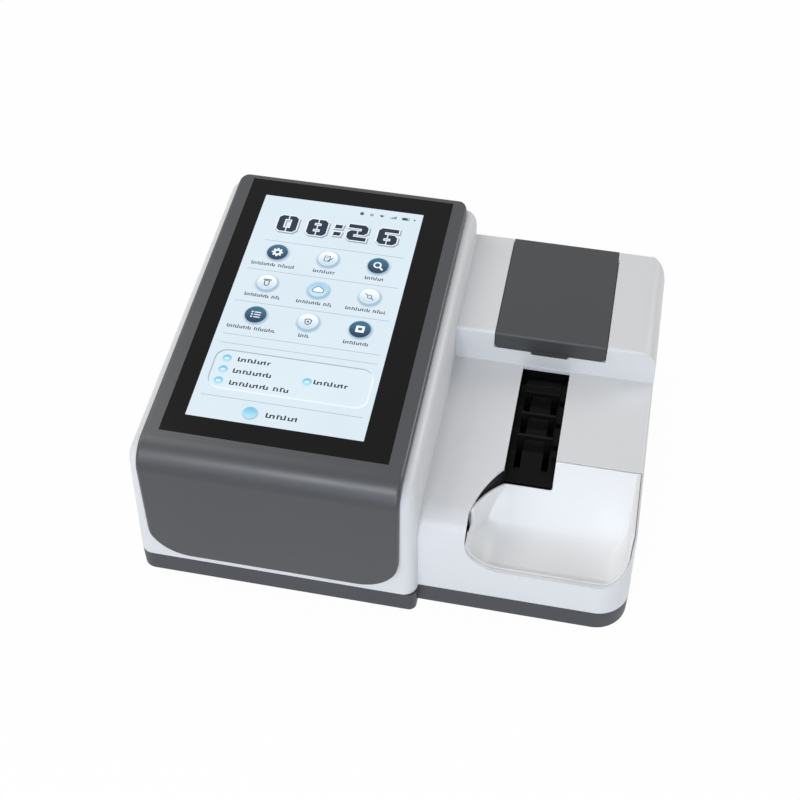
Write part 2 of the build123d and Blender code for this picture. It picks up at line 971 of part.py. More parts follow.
def port_shell(name):
    """A socket of the main board, open to the rear."""
    for port, x, port_width, port_rise, depth in port_places():
        if port == name:
            face = rear - port_sink
            half = port_width / 2
            shell = block(x - half, x + half, face - depth, face, port_floor, port_floor + port_rise)
            return shell, x, face
    raise ValueError(name)


def serial_port():
    """Nine-way socket with its D-shaped rim and two jack posts."""
    shell, x, face = port_shell("serial_port")
    middle = port_floor + serial_height / 2
    wide = 0.27 * serial_width
    slim = 0.24 * serial_width
    high = 0.33 * serial_height
    top = middle + high
    low = middle - high
    rim = Polyline((x - wide, top), (x - slim, low), (x + slim, low), (x + wide, top), close=True)
    shell = shell - along_y(make_face(rim), face - 0.2 * serial_depth, face + 1)
    pin = 0.035 * serial_width
    for row, count in ((0.11 * serial_height, 5), (-0.11 * serial_height, 4)):
        for number in range(count):
            pin_x = x + (number - (count - 1) / 2) * 2.5 * pin
            z = middle + row
            shell = shell - block(
                pin_x - pin / 2, pin_x + pin / 2, face - serial_depth / 2, face, z - pin / 2, z + pin / 2
            )
    for side in (-1, 1):
        jack = Pos(x + side * 0.4 * serial_width, middle) * RegularPolygon(0.13 * serial_height, 6)
        shell = shell - along_y(jack, face - serial_depth / 2, face + 1)
    return shell


def usb_port():
    """Flat data socket with its tongue."""
    shell, x, face = port_shell("usb_port")
    cavity = block(x - 6.3, x + 6.3, face - 9, face + 1, port_floor + 1.0, port_floor + 6.2)
    tongue = block(x - 5.2, x + 5.2, face - 9.5, face - 1, port_floor + 3.9, port_floor + 5.7)
    return (shell - cavity) + tongue


def network_port():
    """Square network socket with a stepped mouth."""
    shell, x, face = port_shell("network_port")
    cavity = block(x - 5.9, x + 5.9, face - 12, face + 1, port_floor + 1.6, port_floor + 9.4)
    step = block(x - 3.2, x + 3.2, face - 12, face + 1, port_floor + 9.0, port_floor + 11.6)
    return shell - cavity - step


def power_inlet():
    """Round low-voltage inlet with its centre pin."""
    face = rear - port_sink
    half_w = inlet_width / 2
    half_h = inlet_rise / 2
    shell = block(inlet_x - half_w, inlet_x + half_w, face - 13, face, socket_z - half_h, socket_z + half_h)
    shell = shell - rod_y(inlet_x, face - 10, face + 1, socket_z, 3.2)
    return shell + rod_y(inlet_x, face - 10.5, face - 1, socket_z, 1.0)


def switch_frame():
    """Snap-in frame of the rocker switch."""
    face = rear - port_sink
    half_w = switch_width / 2
    half_h = switch_rise / 2
    frame = block(switch_x - half_w, switch_x + half_w, face - 15, face, socket_z - half_h, socket_z + half_h)
    pocket = block(
        switch_x - half_w + 1.6, switch_x + half_w - 1.6, face - 12, face + 1,
        socket_z - half_h + 1.6, socket_z + half_h - 1.6,
    )
    bore = rod_x(switch_x - half_w + 0.4, switch_x + half_w - 0.4, face - 6.5, socket_z, 1.5 + running)
    return frame - pocket - bore


def power_rocker():
    """Rocker with two faces, drawn in its off position."""
    face = rear - port_sink
    half = switch_rise / 2 - 1.6 - 0.9
    fall = half * tan(radians(rocker_tilt))
    pivot_y = face - 6.5
    lip = 4.4 + fall * 0.4
    profile = Polyline(
        (4.4, 0), (lip, half), (-2.6, half), (-4.0, 0), (-2.6, -half), (lip, -half), close=True
    )
    body = Rot(0, 0, rocker_tilt) * make_face(profile)
    half_w = switch_width / 2 - 1.6 - 0.3
    rocker = along_x(Pos(pivot_y, socket_z) * body, switch_x - half_w, switch_x + half_w)
    return rocker + rod_x(switch_x - half_w - 1.0, switch_x + half_w + 1.0, pivot_y, socket_z, 1.5)


def bar_places():
    """Rest positions of the comb's cross bars."""
    return [front + first_bar + number * rib_pitch for number in range(comb_bars)]


def strip_bed():
    """Black trough under the channel: ribbed floor, finger slots, side rail and apron."""
    x0 = left + channel_left
    x1 = x0 + channel_width
    roof = platform_top - wall
    floor = foot_height + bed_floor
    under = floor - bed_floor_thickness
    y0 = front + apron_start
    y1 = front + channel_rear
    trough = block(x0 - bed_wall, x1 + bed_wall, y0, y1 + bed_wall, under, roof)
    flange = block(
        x0 - bed_wall - bed_flange, x1 + bed_wall + bed_flange, y0, y1 + bed_wall, roof - bed_wall, roof
    )
    bed = trough + flange
    bed = bed - block(x0, x1, y0 - 1, y1, floor, roof + 1)
    lip = foot_height + apron_lip
    lip_y = front + channel_front
    bend_y = y0 + 0.5
    lip_low = lip - bed_floor_thickness
    sheet = Polyline((bend_y, under), (bend_y, floor), (lip_y, lip), (lip_y, lip_low), close=True)
    bed = bed + along_x(make_face(sheet), x0, x1 - seam)
    cheek = Polyline((bend_y, under), (bend_y, roof), (lip_y, roof - bed_wall), (lip_y, lip_low), close=True)
    bed = bed + along_x(make_face(cheek), x0 - bed_wall, x0)
    for number in range(comb_bars + 1):
        rib_y = front + first_bar + (number - 0.5) * rib_pitch
        foot = floor - 0.2
        rib = Polyline((rib_y - 5.5, foot), (rib_y, floor + rib_height), (rib_y + 1.2, foot), close=True)
        bed = bed + along_x(make_face(rib), x0, x1)
    rail_top = floor + rail_height + rib_height
    rail = block(x1 - rail_width, x1, y0 + 2, y1 - reader_length, floor - 0.2, rail_top)
    for number in range(comb_bars + 1):
        rib_y = front + first_bar + (number - 0.5) * rib_pitch
        rail = rail - block(x1 - rail_width - 1, x1 + 1, rib_y + 1.5, rib_y + 6.0, floor + 0.4, roof)
    bed = bed + rail
    slot = finger_width / 2 + slot_clearance
    reach = finger_length / 2 + slot_clearance
    places = bar_places()
    for side in (-1, 1):
        x = channel_middle + side * finger_spread / 2
        slot_start = places[0] - rib_pitch - reach
        bed = bed - block(x - slot, x + slot, slot_start, places[-1] + reach, under - 6, roof)
    window_y = y1 - reader_length / 2
    bed = bed - block(
        channel_middle - window_width / 2 + 1, channel_middle + window_width / 2 - 1,
        window_y - window_length / 2 + 1, window_y + window_length / 2 - 1, under - 1, floor + 1,
    )
    bed = bed - block(
        channel_middle - window_width / 2 - 0.1, channel_middle + window_width / 2 + 0.1,
        window_y - window_length / 2 - 0.1, window_y + window_length / 2 + 0.1,
        floor - window_thickness, floor + 5,
    )
    skirt = along_z(tray_plan(-seam - bed_wall), foot_height + apron_lip - 8, roof)
    skirt = skirt - along_z(tray_plan(-seam), foot_height, roof + 1)
    near = block(
        left + tray_left - 4, x0 + 1, front + rim_dip_start + 1, front + channel_front + 3, foot_height, roof
    )
    return bed + (skirt & near)


def reader_window():
    """Clear window in the bed's floor over the reader."""
    floor = foot_height + bed_floor
    window_y = front + channel_rear - reader_length / 2
    return block(
        channel_middle - window_width / 2, channel_middle + window_width / 2,
        window_y - window_length / 2, window_y + window_length / 2, floor - window_thickness, floor,
    )


def reader_head():
    """Black optical block: lamp slots and a lens bore that look up through the window."""
    top = foot_height + bed_floor - bed_floor_thickness
    window_y = front + channel_rear - reader_length / 2
    head = block(
        channel_middle - reader_width / 2, channel_middle + reader_width / 2,
        window_y - reader_length / 2, window_y + reader_length / 2, top - reader_height, top,
    )
    head = head - rod_z(channel_middle, window_y, top - reader_height - 1, top + 1, 2.2)
    for side in (-1, 1):
        lamp_x = channel_middle + side * reader_width * 0.3
        head = head - post_z(lamp_x, window_y, top - reader_height - 1, top + 1, reader_length / 3)
    return head


def reader_board():
    """Sensor board under the optical block, with its lamps and light sensor."""
    top = foot_height + bed_floor - bed_floor_thickness - reader_height
    window_y = front + channel_rear - reader_length / 2
    board = block(
        channel_middle - reader_width / 2 - 6, channel_middle + reader_width / 2 + 6,
        window_y - reader_length / 2, window_y + reader_length / 2, top - board_thickness, top,
    )
    for side in (-1, 0, 1):
        x = channel_middle + side * reader_width * 0.3
        board = board + post_z(x, window_y, top - 0.1, top + 2 * board_thickness, reader_length / 4)
    return board


def lug_places():
    """Middles of the comb's bearing lugs, so that it stops just short of both end plates."""
    first = front + carriage_front + carriage_plate + rib_pitch + stop_gap + lug_length / 2
    return [first, front + carriage_rear - stop_gap - lug_length / 2]


def strip_comb():
    """Walking comb: cross bars on fingers, a carrier plate, bearing lugs and a rack."""
    floor = foot_height + comb_floor
    bottom = foot_height + bar_top - bar_height
    places = bar_places()
    reach = finger_length / 2 + 1
    comb = block(
        channel_middle - rod_spread / 2 + 2, channel_middle + rod_spread / 2 - 2,
        places[0] - reach, places[-1] + reach, floor, floor + comb_plate,
    )
    half_bar = channel_width / 2 - rail_width - 1.2
    for y in places:
        comb = comb + block(
            channel_middle - half_bar, channel_middle + half_bar,
            y - bar_thickness / 2, y + bar_thickness / 2, bottom, bottom + bar_height,
        )
        for side in (-1, 1):
            x = channel_middle + side * finger_spread / 2
            comb = comb + block(
                x - finger_width / 2, x + finger_width / 2,
                y - finger_length / 2, y + finger_length / 2, floor, bottom + 0.6,
            )
    rod_z0 = floor + comb_plate / 2
    for side in (-1, 1):
        x = channel_middle + side * rod_spread / 2
        for y in lug_places():
            comb = comb + block(
                x - lug_size / 2, x + lug_size / 2, y - lug_length / 2, y + lug_length / 2,
                rod_z0 - lug_size / 2, rod_z0 + lug_size / 2,
            )
        comb = comb - rod_y(x, places[0] - 20, places[-1] + 20, rod_z0, rod_diameter / 2 + running)
    return comb + rack()


def pinion_z():
    """Height of the pinion's axle."""
    return foot_height + comb_floor - rack_web - gear_module * 1.15 - gear_module * pinion_teeth / 2


def rack_tip():
    """Height of the rack's tooth tips."""
    return pinion_z() + gear_module * pinion_teeth / 2 - 0.9 * gear_module


def rack():
    """Toothed bar under the comb, in mesh with the pinion over the whole stroke."""
    pitch = pi * gear_module
    root = rack_tip() + 2.05 * gear_module
    tip = rack_tip()
    motor_y = front + motor_place
    x0 = channel_middle + rack_offset
    behind = int(rib_pitch / pitch) + 3
    bar = block(
        x0, x0 + rack_width, motor_y - 2.5 * pitch, motor_y + behind * pitch,
        root - 0.2, foot_height + comb_floor + 0.5,
    )
    for number in range(-2, behind):
        y = motor_y + (number + 0.5) * pitch
        half_root = tooth_slack * 0.4 * pitch
        half_tip = 0.13 * pitch
        tooth = Polyline(
            (y - half_root, root), (y - half_tip, tip), (y + half_tip, tip), (y + half_root, root), close=True
        )
        bar = bar + along_x(make_face(tooth), x0, x0 + rack_width)
    return bar


def comb_pinion():
    """Pinion and shaft that drive the comb's rack."""
    x0 = channel_middle + rack_offset
    motor_y = front + motor_place
    gear = gear_x(pinion_teeth, gear_module, x0, x0 + rack_width, motor_y, pinion_z(), 90)
    shaft_end = channel_middle + carriage_width / 2 + 4
    return gear + rod_x(x0 - 1, shaft_end, motor_y, pinion_z(), 1.5)


def comb_motor():
    """Square stepping motor on the carriage's right rail."""
    x0 = channel_middle + carriage_width / 2
    motor_y = front + motor_place
    half = motor_size / 2
    z = pinion_z()
    motor = block(x0, x0 + motor_length, motor_y - half, motor_y + half, z - half, z + half)
    motor = chamfer(motor.edges().filter_by(Axis.X), 2.0)
    return motor - rod_x(x0 - 1, x0 + 5, motor_y, z, 1.5 + running)


def lift_carriage():
    """Frame that raises the comb: side rails, end plates for the rods and a lift beam."""
    half = carriage_width / 2
    y0 = front + carriage_front
    y1 = front + carriage_rear + carriage_plate
    z0 = foot_height + carriage_floor
    z1 = foot_height + carriage_rim
    frame = block(channel_middle - half, channel_middle + half, y0, y1, z1 - carriage_web, z1)
    frame = frame - block(
        channel_middle - half + carriage_plate, channel_middle + half - carriage_plate,
        y0 + carriage_plate, y1 - carriage_plate, z0, z1 + 1,
    )
    frame = frame - block(
        channel_middle - rod_spread / 2 + 1.5, channel_middle + rod_spread / 2 - 1.5,
        y0 - 1, y0 + carriage_plate + 1, foot_height + comb_floor - stop_gap, z1 + 1,
    )
    rack_x = channel_middle + rack_offset
    frame = frame - block(
        rack_x - slot_clearance, rack_x + rack_width + slot_clearance,
        y0 - 1, y0 + carriage_plate + 1, rack_tip() - slot_clearance, z1,
    )
    beam_y = front + plunger_place
    for side in (-1, 1):
        x = channel_middle + side * (half - carriage_plate / 2)
        frame = frame + block(
            x - carriage_plate / 2, x + carriage_plate / 2, beam_y - 30, beam_y + 12, z0, z1 - 4
        )
    beam_top = z0 + carriage_plate
    frame = frame + block(channel_middle - half, channel_middle + half, beam_y - 8, beam_y + 8, z0, beam_top)
    rod_z0 = foot_height + comb_floor + comb_plate / 2
    for side in (-1, 1):
        x = channel_middle + side * rod_spread / 2
        frame = frame - rod_y(x, y0 - 1, y1 + 1, rod_z0, rod_diameter / 2 + running / 2)
        guide_x = channel_middle + side * guide_spread / 2
        frame = frame - rod_z(guide_x, beam_y, z0 - 1, z0 + carriage_plate + 1, guide_diameter / 2 + running)
    side_x = channel_middle + half
    return frame - rod_x(side_x - 4, side_x + 1, front + motor_place, pinion_z(), 1.5 + running)


def slide_rods():
    """Two ground rods that the comb slides on."""
    rods = []
    rod_z0 = foot_height + comb_floor + comb_plate / 2
    for side in (-1, 1):
        x = channel_middle + side * rod_spread / 2
        y1 = front + carriage_rear + carriage_plate
        rods.append(rod_y(x, front + carriage_front, y1, rod_z0, rod_diameter / 2))
    return Compound(children=rods)


def lift_plunger():
    """Steel plunger under the carriage's beam."""
    z0 = foot_height + carriage_floor
    return rod_z(channel_middle, front + plunger_place, z0 - plunger_reach, z0, plunger_diameter / 2)


def lift_solenoid():
    """Round solenoid on the base that pushes the plunger up."""
    z1 = foot_height + carriage_floor - 3.0
    y = front + plunger_place
    coil = rod_z(channel_middle, y, foot_height + wall, z1, solenoid_diameter / 2)
    bore_floor = foot_height + carriage_floor - plunger_reach - 1
    return coil - rod_z(channel_middle, y, bore_floor, z1 + 1, plunger_diameter / 2 + running)


def lift_guides():
    """Two posts on the base that keep the carriage level."""
    guide_top = foot_height + comb_floor + comb_plate / 2 - lug_size / 2 - 1
    posts = []
    for side in (-1, 1):
        x = channel_middle + side * guide_spread / 2
        posts.append(rod_z(x, front + plunger_place, foot_height + wall, guide_top, guide_diameter / 2))
    return Compound(children=posts)


hinge_y = rear - hinge_inset
hinge_z = block_top - hinge_drop
platen_y = front + platen_depth
platen_z = foot_height + platen_height
driver_z = platen_z - printer_gear_module * (platen_teeth + driver_teeth) / 2
door_x0 = left + door_left
door_x1 = door_x0 + door_width
cheek_out = 6.6
cheek_in = 3.8


def printer_door():
    """Dark printer door: wraps over the block's edge, with cheeks for the platen."""
    top = block_top + door_proud
    y0 = block_face - door_proud
    low = block_top - door_skirt
    low_rear = block_top - hinge_drop - hinge_inset
    profile = outline(
        [
            (y0, low), (y0, top), (rear, top), (rear, low_rear),
            (rear - door_thickness, low_rear), (rear - door_thickness, top - door_thickness),
            (y0 + door_thickness, top - door_thickness), (y0 + door_thickness, low),
        ],
        [0, block_edge, block_edge, 0, 0, 0, 0, 0],
    )
    door = along_x(profile, door_x0, door_x1)
    face_on = outline(
        [(door_x0, low), (door_x1, low), (door_x1, top + 5), (door_x0, top + 5)],
        [door_corner, door_corner, 0, 0],
    )
    keep = along_y(face_on, y0 - 1, y0 + 30)
    keep = keep + block(door_x0, door_x1, y0 + 29, rear + 1, low_rear - 1, top + 5)
    door = door & keep
    corner = block(door_x0 - 1, door_x1 + 1, hinge_y, rear + 1, low_rear - 1, hinge_z)
    door = door - (corner - rod_x(door_x0 - 2, door_x1 + 2, hinge_y, hinge_z, barrel_radius))
    door = door + block(
        door_middle - tab_width / 2, door_middle + tab_width / 2,
        y0 - tab_proud, y0 + door_thickness, low - tab_reach, low + 2.6,
    )
    for x in (door_x0 + cheek_in, door_x1 - cheek_out):
        cheek_top = top - door_thickness + 0.5
        cheek = block(x, x + cheek_out - cheek_in, platen_y - 6, platen_y + 6, platen_z - 5.4, cheek_top)
        door = door + cheek - rod_x(x - 1, x + 5, platen_y, platen_z, platen_axle + running)
    for x in (door_x0 + 0.6, door_x1 - 0.6 - knuckle_width):
        radius = knuckle_diameter / 2
        knuckle = rod_x(x, x + knuckle_width, hinge_y, hinge_z, radius)
        web = block(x, x + knuckle_width, hinge_y - radius, hinge_y + radius, hinge_z, top - 1)
        bore = rod_x(x - 1, x + knuckle_width + 1, hinge_y, hinge_z, pin_diameter / 2 + running)
        door = door + knuckle + web - bore
    return door


def hinge_pin():
    """Steel pin through the door's knuckles and the frame's lugs."""
    reach = lug_gap + lug_plate
    return rod_x(door_x0 - reach, door_x1 + reach, hinge_y, hinge_z, pin_diameter / 2)


def platen_shaft():
    """Steel axle of the platen."""
    return rod_x(door_x0 + cheek_in, door_x1 - 0.8, platen_y, platen_z, platen_axle)


def platen_roller():
    """Rubber sleeve that feeds the paper."""
    x0 = door_x0 + cheek_out + seam
    x1 = door_x1 - cheek_out - seam
    sleeve = rod_x(x0, x1, platen_y, platen_z, platen_radius)
    return sleeve - rod_x(x0 - 1, x1 + 1, platen_y, platen_z, platen_axle + 0.02)


def platen_gear():
    """Gear on the platen's right end."""
    x1 = door_x1 - 0.8
    gear = gear_x(platen_teeth, printer_gear_module, x1 - gear_width, x1, platen_y, platen_z, -90)
    return gear - rod_x(x1 - gear_width - 1, x1 + 1, platen_y, platen_z, platen_axle + 0.02)


def driver_gear():
    """Motor pinion under the platen's gear."""
    x1 = door_x1 - 0.8
    turn = 90 + 180 / driver_teeth
    gear = gear_x(driver_teeth, printer_gear_module, x1 - gear_width, x1, platen_y, driver_z, turn)
    return gear + rod_x(x1 - 0.5, door_x1 + lug_gap + lug_plate + 5, platen_y, driver_z, 1.0)


def printer_motor():
    """Small round stepping motor on the frame's right arm."""
    x0 = door_x1 + lug_gap + lug_plate
    motor = rod_x(x0, x0 + printer_motor_length, platen_y, driver_z, printer_motor_diameter / 2)
    return motor - rod_x(x0 - 1, x0 + 6, platen_y, driver_z, 1.0 + running)


def printer_frame():
    """One moulding: paper cradle, roof flange, hinge lugs, motor arm and head shelf."""
    roof = block_top - wall
    flange_top = roof - 1.5
    flange_low = flange_top - 2.0
    x0 = door_x0 - door_gap - 10
    x1 = door_x1 + door_gap + 10
    inner = roll_radius + cradle_gap
    outer = inner + 2.0
    half = paper_width / 2 + 1.0
    middle_z = foot_height + roll_height + cradle_gap - free_play
    middle_y = front + roll_depth
    well = rod_x(door_middle - half - 2, door_middle + half + 2, middle_y, middle_z, outer)
    well = well + block(
        door_middle - half - 2, door_middle + half + 2,
        middle_y - outer, middle_y + outer, middle_z, flange_top,
    )
    frame = well + block(x0, x1, platen_y + 7, hinge_y - 4.5, flange_low, flange_top)
    cut = rod_x(door_middle - half, door_middle + half, middle_y, middle_z, inner)
    cut = cut + block(
        door_middle - half, door_middle + half, middle_y - inner, middle_y + inner, middle_z, roof + 1
    )
    for pad0, pad1 in ((x0, door_x0 - door_gap - 1), (door_x1 + door_gap + 1, x1)):
        frame = frame + block(pad0, pad1, middle_y - 20, middle_y + 20, flange_top - 0.2, roof)
    for arm0 in (door_x0 - lug_gap - lug_plate, door_x1 + lug_gap):
        frame = frame + block(arm0, arm0 + lug_plate, platen_y - 8, platen_y + 12, driver_z - 9, flange_top)
        arm1 = arm0 + lug_plate
        frame = frame + block(arm0, arm1, hinge_y - 9, hinge_y + 2.3, hinge_z - 3.5, hinge_z + 1.9)
    frame = frame + block(
        door_x0 - lug_gap - lug_plate, door_x1 + lug_gap + lug_plate,
        platen_y + 7, platen_y + 9, driver_z - 4, flange_top,
    )
    shelf_top = platen_z - platen_radius - free_play - head_thickness - 1.8
    frame = frame + block(
        door_middle - half, door_middle + half, platen_y - 7, platen_y + 8, shelf_top - 2, shelf_top
    )
    frame = frame - cut
    frame = frame - rod_x(door_x0 - 20, door_x1 + 20, hinge_y, hinge_z, pin_diameter / 2 + 0.02)
    frame = frame - rod_x(door_x1, door_x1 + 20, platen_y, driver_z, 1.0 + 2 * running)
    for x, y in printer_screw_places():
        frame = frame - prism_z(x, y, flange_low - 1, roof + 1, small_screw / 2 + 2 * running, 8)
    return frame


def printer_screw_places():
    """Four screws that hang the printer frame from the roof."""
    x0 = door_x0 - door_gap - 5.5
    x1 = door_x1 + door_gap + 5.5
    y = front + roll_depth
    return [(x0, y - 14), (x1, y - 14), (x0, y + 14), (x1, y + 14)]


def printer_screws():
    """Screws up through the printer frame's pads."""
    screws = []
    flange_low = block_top - wall - 3.5
    for x, y in printer_screw_places():
        head = prism_z(x, y, flange_low - small_screw, flange_low, small_head / 2, 6)
        screws.append(head + prism_z(x, y, flange_low - 1, block_top - wall - 0.1, small_screw / 2, 8))
    return Compound(children=screws)


def print_head():
    """Flat thermal head under the platen, with its heating line."""
    half = paper_width / 2 + 0.5
    top = platen_z - platen_radius - free_play
    head = block(
        door_middle - half, door_middle + half,
        platen_y - head_depth / 2, platen_y + head_depth / 2, top - head_thickness, top - 0.2,
    )
    line = block(door_middle - half + 3, door_middle + half - 3, platen_y - 1, platen_y + 1, top - 0.4, top)
    return head + line


def head_spring():
    """Bent leaf spring that presses the head up."""
    top = platen_z - platen_radius - free_play - head_thickness
    low = top - 1.8
    y = platen_y
    leaf = Polyline(
        (y - 5, top), (y - 3, top), (y, low + 0.5), (y + 3, top), (y + 5, top),
        (y + 5, top - 0.5), (y + 3.2, top - 0.5), (y, low), (y - 3.2, top - 0.5), (y - 5, top - 0.5),
        close=True,
    )
    return along_x(make_face(leaf), door_middle - 12, door_middle + 12)


def paper_roll():
    """Roll of printer paper."""
    y = front + roll_depth
    z = foot_height + roll_height
    x0 = door_middle - paper_width / 2
    roll = rod_x(x0, x0 + paper_width, y, z, roll_radius)
    return roll - rod_x(x0 - 1, x0 + paper_width + 1, y, z, core_radius + core_wall + 0.02)


def roll_core():
    """Card tube inside the paper roll."""
    y = front + roll_depth
    z = foot_height + roll_height
    x0 = door_middle - paper_width / 2
    tube = rod_x(x0, x0 + paper_width, y, z, core_radius + core_wall)
    return tube - rod_x(x0 - 1, x0 + paper_width + 1, y, z, core_radius)


def speaker():
    """Round beeper on the base."""
    x = left + speaker_place
    y = front + speaker_place
    z0 = foot_height + wall
    can = rod_z(x, y, z0, z0 + speaker_height, speaker_diameter / 2)
    return can + prism_z(x, y, z0 + speaker_height / 2, z0 + 1.5 * speaker_height, speaker_diameter / 3, 16)


def write(name, shape):
    """Save one sub-part."""
    export_step(shape, f"parts/{name}.step")


sub_parts = [
    main_housing, base_pan, rubber_feet, base_screws,
    bezel_shell, touch_glass, lcd_panel, display_frame, display_screws,
    main_board, power_board, serial_port, usb_port, network_port, power_inlet,
    switch_frame, power_rocker, speaker,
    strip_bed, reader_window, reader_head, reader_board,
    lift_carriage, slide_rods, lift_plunger, lift_solenoid, lift_guides,
    strip_comb, comb_pinion, comb_motor, strip_tray,
    printer_frame, printer_screws, print_head, head_spring, printer_motor, driver_gear,
    paper_roll, roll_core, printer_door, hinge_pin, platen_shaft, platen_roller, platen_gear,
]

os.makedirs("parts", exist_ok=True)
for make in sub_parts:
    write(make.__name__, make())
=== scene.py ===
import json
from math import cos, pi, radians, sin

import bmesh
import bpy
from mathutils import Matrix, Vector, kdtree

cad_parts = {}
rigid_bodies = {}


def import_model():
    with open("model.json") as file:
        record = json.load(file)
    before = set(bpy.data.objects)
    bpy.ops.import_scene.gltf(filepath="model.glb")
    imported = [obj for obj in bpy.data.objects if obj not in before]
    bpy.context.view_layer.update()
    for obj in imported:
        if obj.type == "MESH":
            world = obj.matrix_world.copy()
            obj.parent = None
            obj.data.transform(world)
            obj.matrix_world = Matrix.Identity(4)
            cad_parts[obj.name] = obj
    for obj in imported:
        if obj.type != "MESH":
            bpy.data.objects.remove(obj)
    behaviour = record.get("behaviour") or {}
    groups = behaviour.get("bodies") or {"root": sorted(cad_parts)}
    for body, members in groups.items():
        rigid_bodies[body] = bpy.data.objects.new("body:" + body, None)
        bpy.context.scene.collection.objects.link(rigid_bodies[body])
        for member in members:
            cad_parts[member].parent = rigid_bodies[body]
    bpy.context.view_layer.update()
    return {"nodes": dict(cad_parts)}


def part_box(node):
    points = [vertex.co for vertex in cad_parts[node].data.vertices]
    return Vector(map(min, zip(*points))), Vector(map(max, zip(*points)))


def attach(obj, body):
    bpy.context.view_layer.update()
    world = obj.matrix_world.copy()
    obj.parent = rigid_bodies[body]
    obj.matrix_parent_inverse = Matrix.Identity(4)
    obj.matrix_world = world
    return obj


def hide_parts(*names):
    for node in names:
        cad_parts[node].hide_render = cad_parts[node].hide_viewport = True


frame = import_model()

bl_info = {
    "name": "Table-top urine analyzer",
    "version": (1, 0, 0),
    "blender": (4, 5, 0),
    "location": "View3D > Sidebar > Analyzer",
    "description": "Dresses the packed analyzer and lights it in a plain studio",
    "category": "Object",
}

MM = 0.001
CASE_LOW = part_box("main_housing")[0]
GLASS_LOW, GLASS_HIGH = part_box("touch_glass")

# Where things stand, in millimetres unless a note says otherwise. The bezel's
# sloping plane starts at the screen height over the housing's front edge.
TOWER_MIDDLE = (GLASS_LOW.x + GLASS_HIGH.x) / 2  # metres
SCREEN_HEIGHT = 124.4
SCREEN_TILT = radians(3.0)
FOOT_HEIGHT = 2.5
PICTURE_SINK = 0.17  # lowest level under the bezel's plane, just over the glass
LEVEL_STEP = 0.03
FILM = 0.02  # thickness of a drawing
DISC_FILM = 0.01
APRON_DARK_FROM = 40.0  # from the housing's front; the apron is white before it

# Mouldings
MERGE_UNDER = 0.002 * MM  # corners closer than this become one
FLAT_UNDER = radians(0.4)
SHARP_FROM = 34.0  # degrees
RIM_FROM = radians(64.0)
SETTLE_STEPS = 2
MELT_STEPS = 140

# Materials: sockets of the colour mix node, which share their names, and the
# span in which most of a noise's values lie
MIX_A, MIX_B, MIX_RESULT = 6, 7, 2
NOISE_LOW, NOISE_HIGH = 0.3, 0.7
MARKS_SHARE = 0.12  # how much the handling marks change a moulding's gloss


class AnalyzerLook(bpy.types.PropertyGroup):
    """Sizes and colours that a user would change."""

    case_colour: bpy.props.FloatVectorProperty(
        name="Housing white", description="Colour of the white mouldings", subtype="COLOR",
        size=3, min=0, max=1, default=(0.765, 0.767, 0.772),
    )
    tray_colour: bpy.props.FloatVectorProperty(
        name="Tray white", description="Colour of the tray and the apron's front", subtype="COLOR",
        size=3, min=0, max=1, default=(0.860, 0.860, 0.855),
    )
    bezel_colour: bpy.props.FloatVectorProperty(
        name="Bezel grey", description="Colour of the dark screen bezel", subtype="COLOR",
        size=3, min=0, max=1, default=(0.0292, 0.0312, 0.0372),
    )
    base_colour: bpy.props.FloatVectorProperty(
        name="Base grey", description="Colour of the dark base", subtype="COLOR",
        size=3, min=0, max=1, default=(0.0440, 0.0470, 0.0550),
    )
    door_colour: bpy.props.FloatVectorProperty(
        name="Door grey", description="Colour of the printer door", subtype="COLOR",
        size=3, min=0, max=1, default=(0.0540, 0.0555, 0.0585),
    )
    edge_softness: bpy.props.FloatProperty(
        name="Edge softness", description="Radius left on moulded edges", default=0.35 * MM,
        min=0.05 * MM, max=1.0 * MM, unit="LENGTH", precision=5,
    )


class ScreenLook(bpy.types.PropertyGroup):
    """The picture on the touch screen."""

    paper_colour: bpy.props.FloatVectorProperty(
        name="Screen", description="Background of the lit picture", subtype="COLOR",
        size=3, min=0, max=1, default=(0.700, 0.805, 0.880),
    )
    ink_colour: bpy.props.FloatVectorProperty(
        name="Ink", description="Dark blue of the clock's digits", subtype="COLOR",
        size=3, min=0, max=1, default=(0.003, 0.015, 0.040),
    )
    button_radius: bpy.props.FloatProperty(
        name="Button radius", description="Radius of the round buttons", default=7.1 * MM,
        min=3.0 * MM, max=9.0 * MM, unit="LENGTH", precision=5,
    )
    digit_height: bpy.props.FloatProperty(
        name="Digit height", description="Height of the clock's digits", default=15.2 * MM,
        min=8.0 * MM, max=18.0 * MM, unit="LENGTH", precision=5,
    )


def look():
    """Values of the mouldings."""
    return bpy.context.scene.analyzer_look


def screen_look():
    """Values of the screen's picture."""
    return bpy.context.scene.analyzer_screen


# Places


def place(x, y, z):
    """Point in the frame, from millimetres off the housing's left, its front and the base's foot."""
    return Vector((CASE_LOW.x + x * MM, CASE_LOW.y + y * MM, (z + FOOT_HEIGHT) * MM))


def on_screen(level, x=0.0, y=0.0):
    """Turns a flat piece, X right and Y up, onto the sloping screen at a level of the picture."""
    foot = Matrix.Translation((TOWER_MIDDLE, CASE_LOW.y, SCREEN_HEIGHT * MM))
    lift = Matrix.Translation((x * MM, y * MM, (LEVEL_STEP * level - PICTURE_SINK) * MM))
    return foot @ Matrix.Rotation(SCREEN_TILT, 4, "X") @ lift


# Nodes and materials


def put(tree, kind, **values):
    """Adds a node, with its settings and the constants of its inputs."""
    node = tree.nodes.new(kind)
    for key, value in values.items():
        if hasattr(node, key):
            setattr(node, key, value)
        else:
            node.inputs[key.replace("_", " ")].default_value = value
    return node


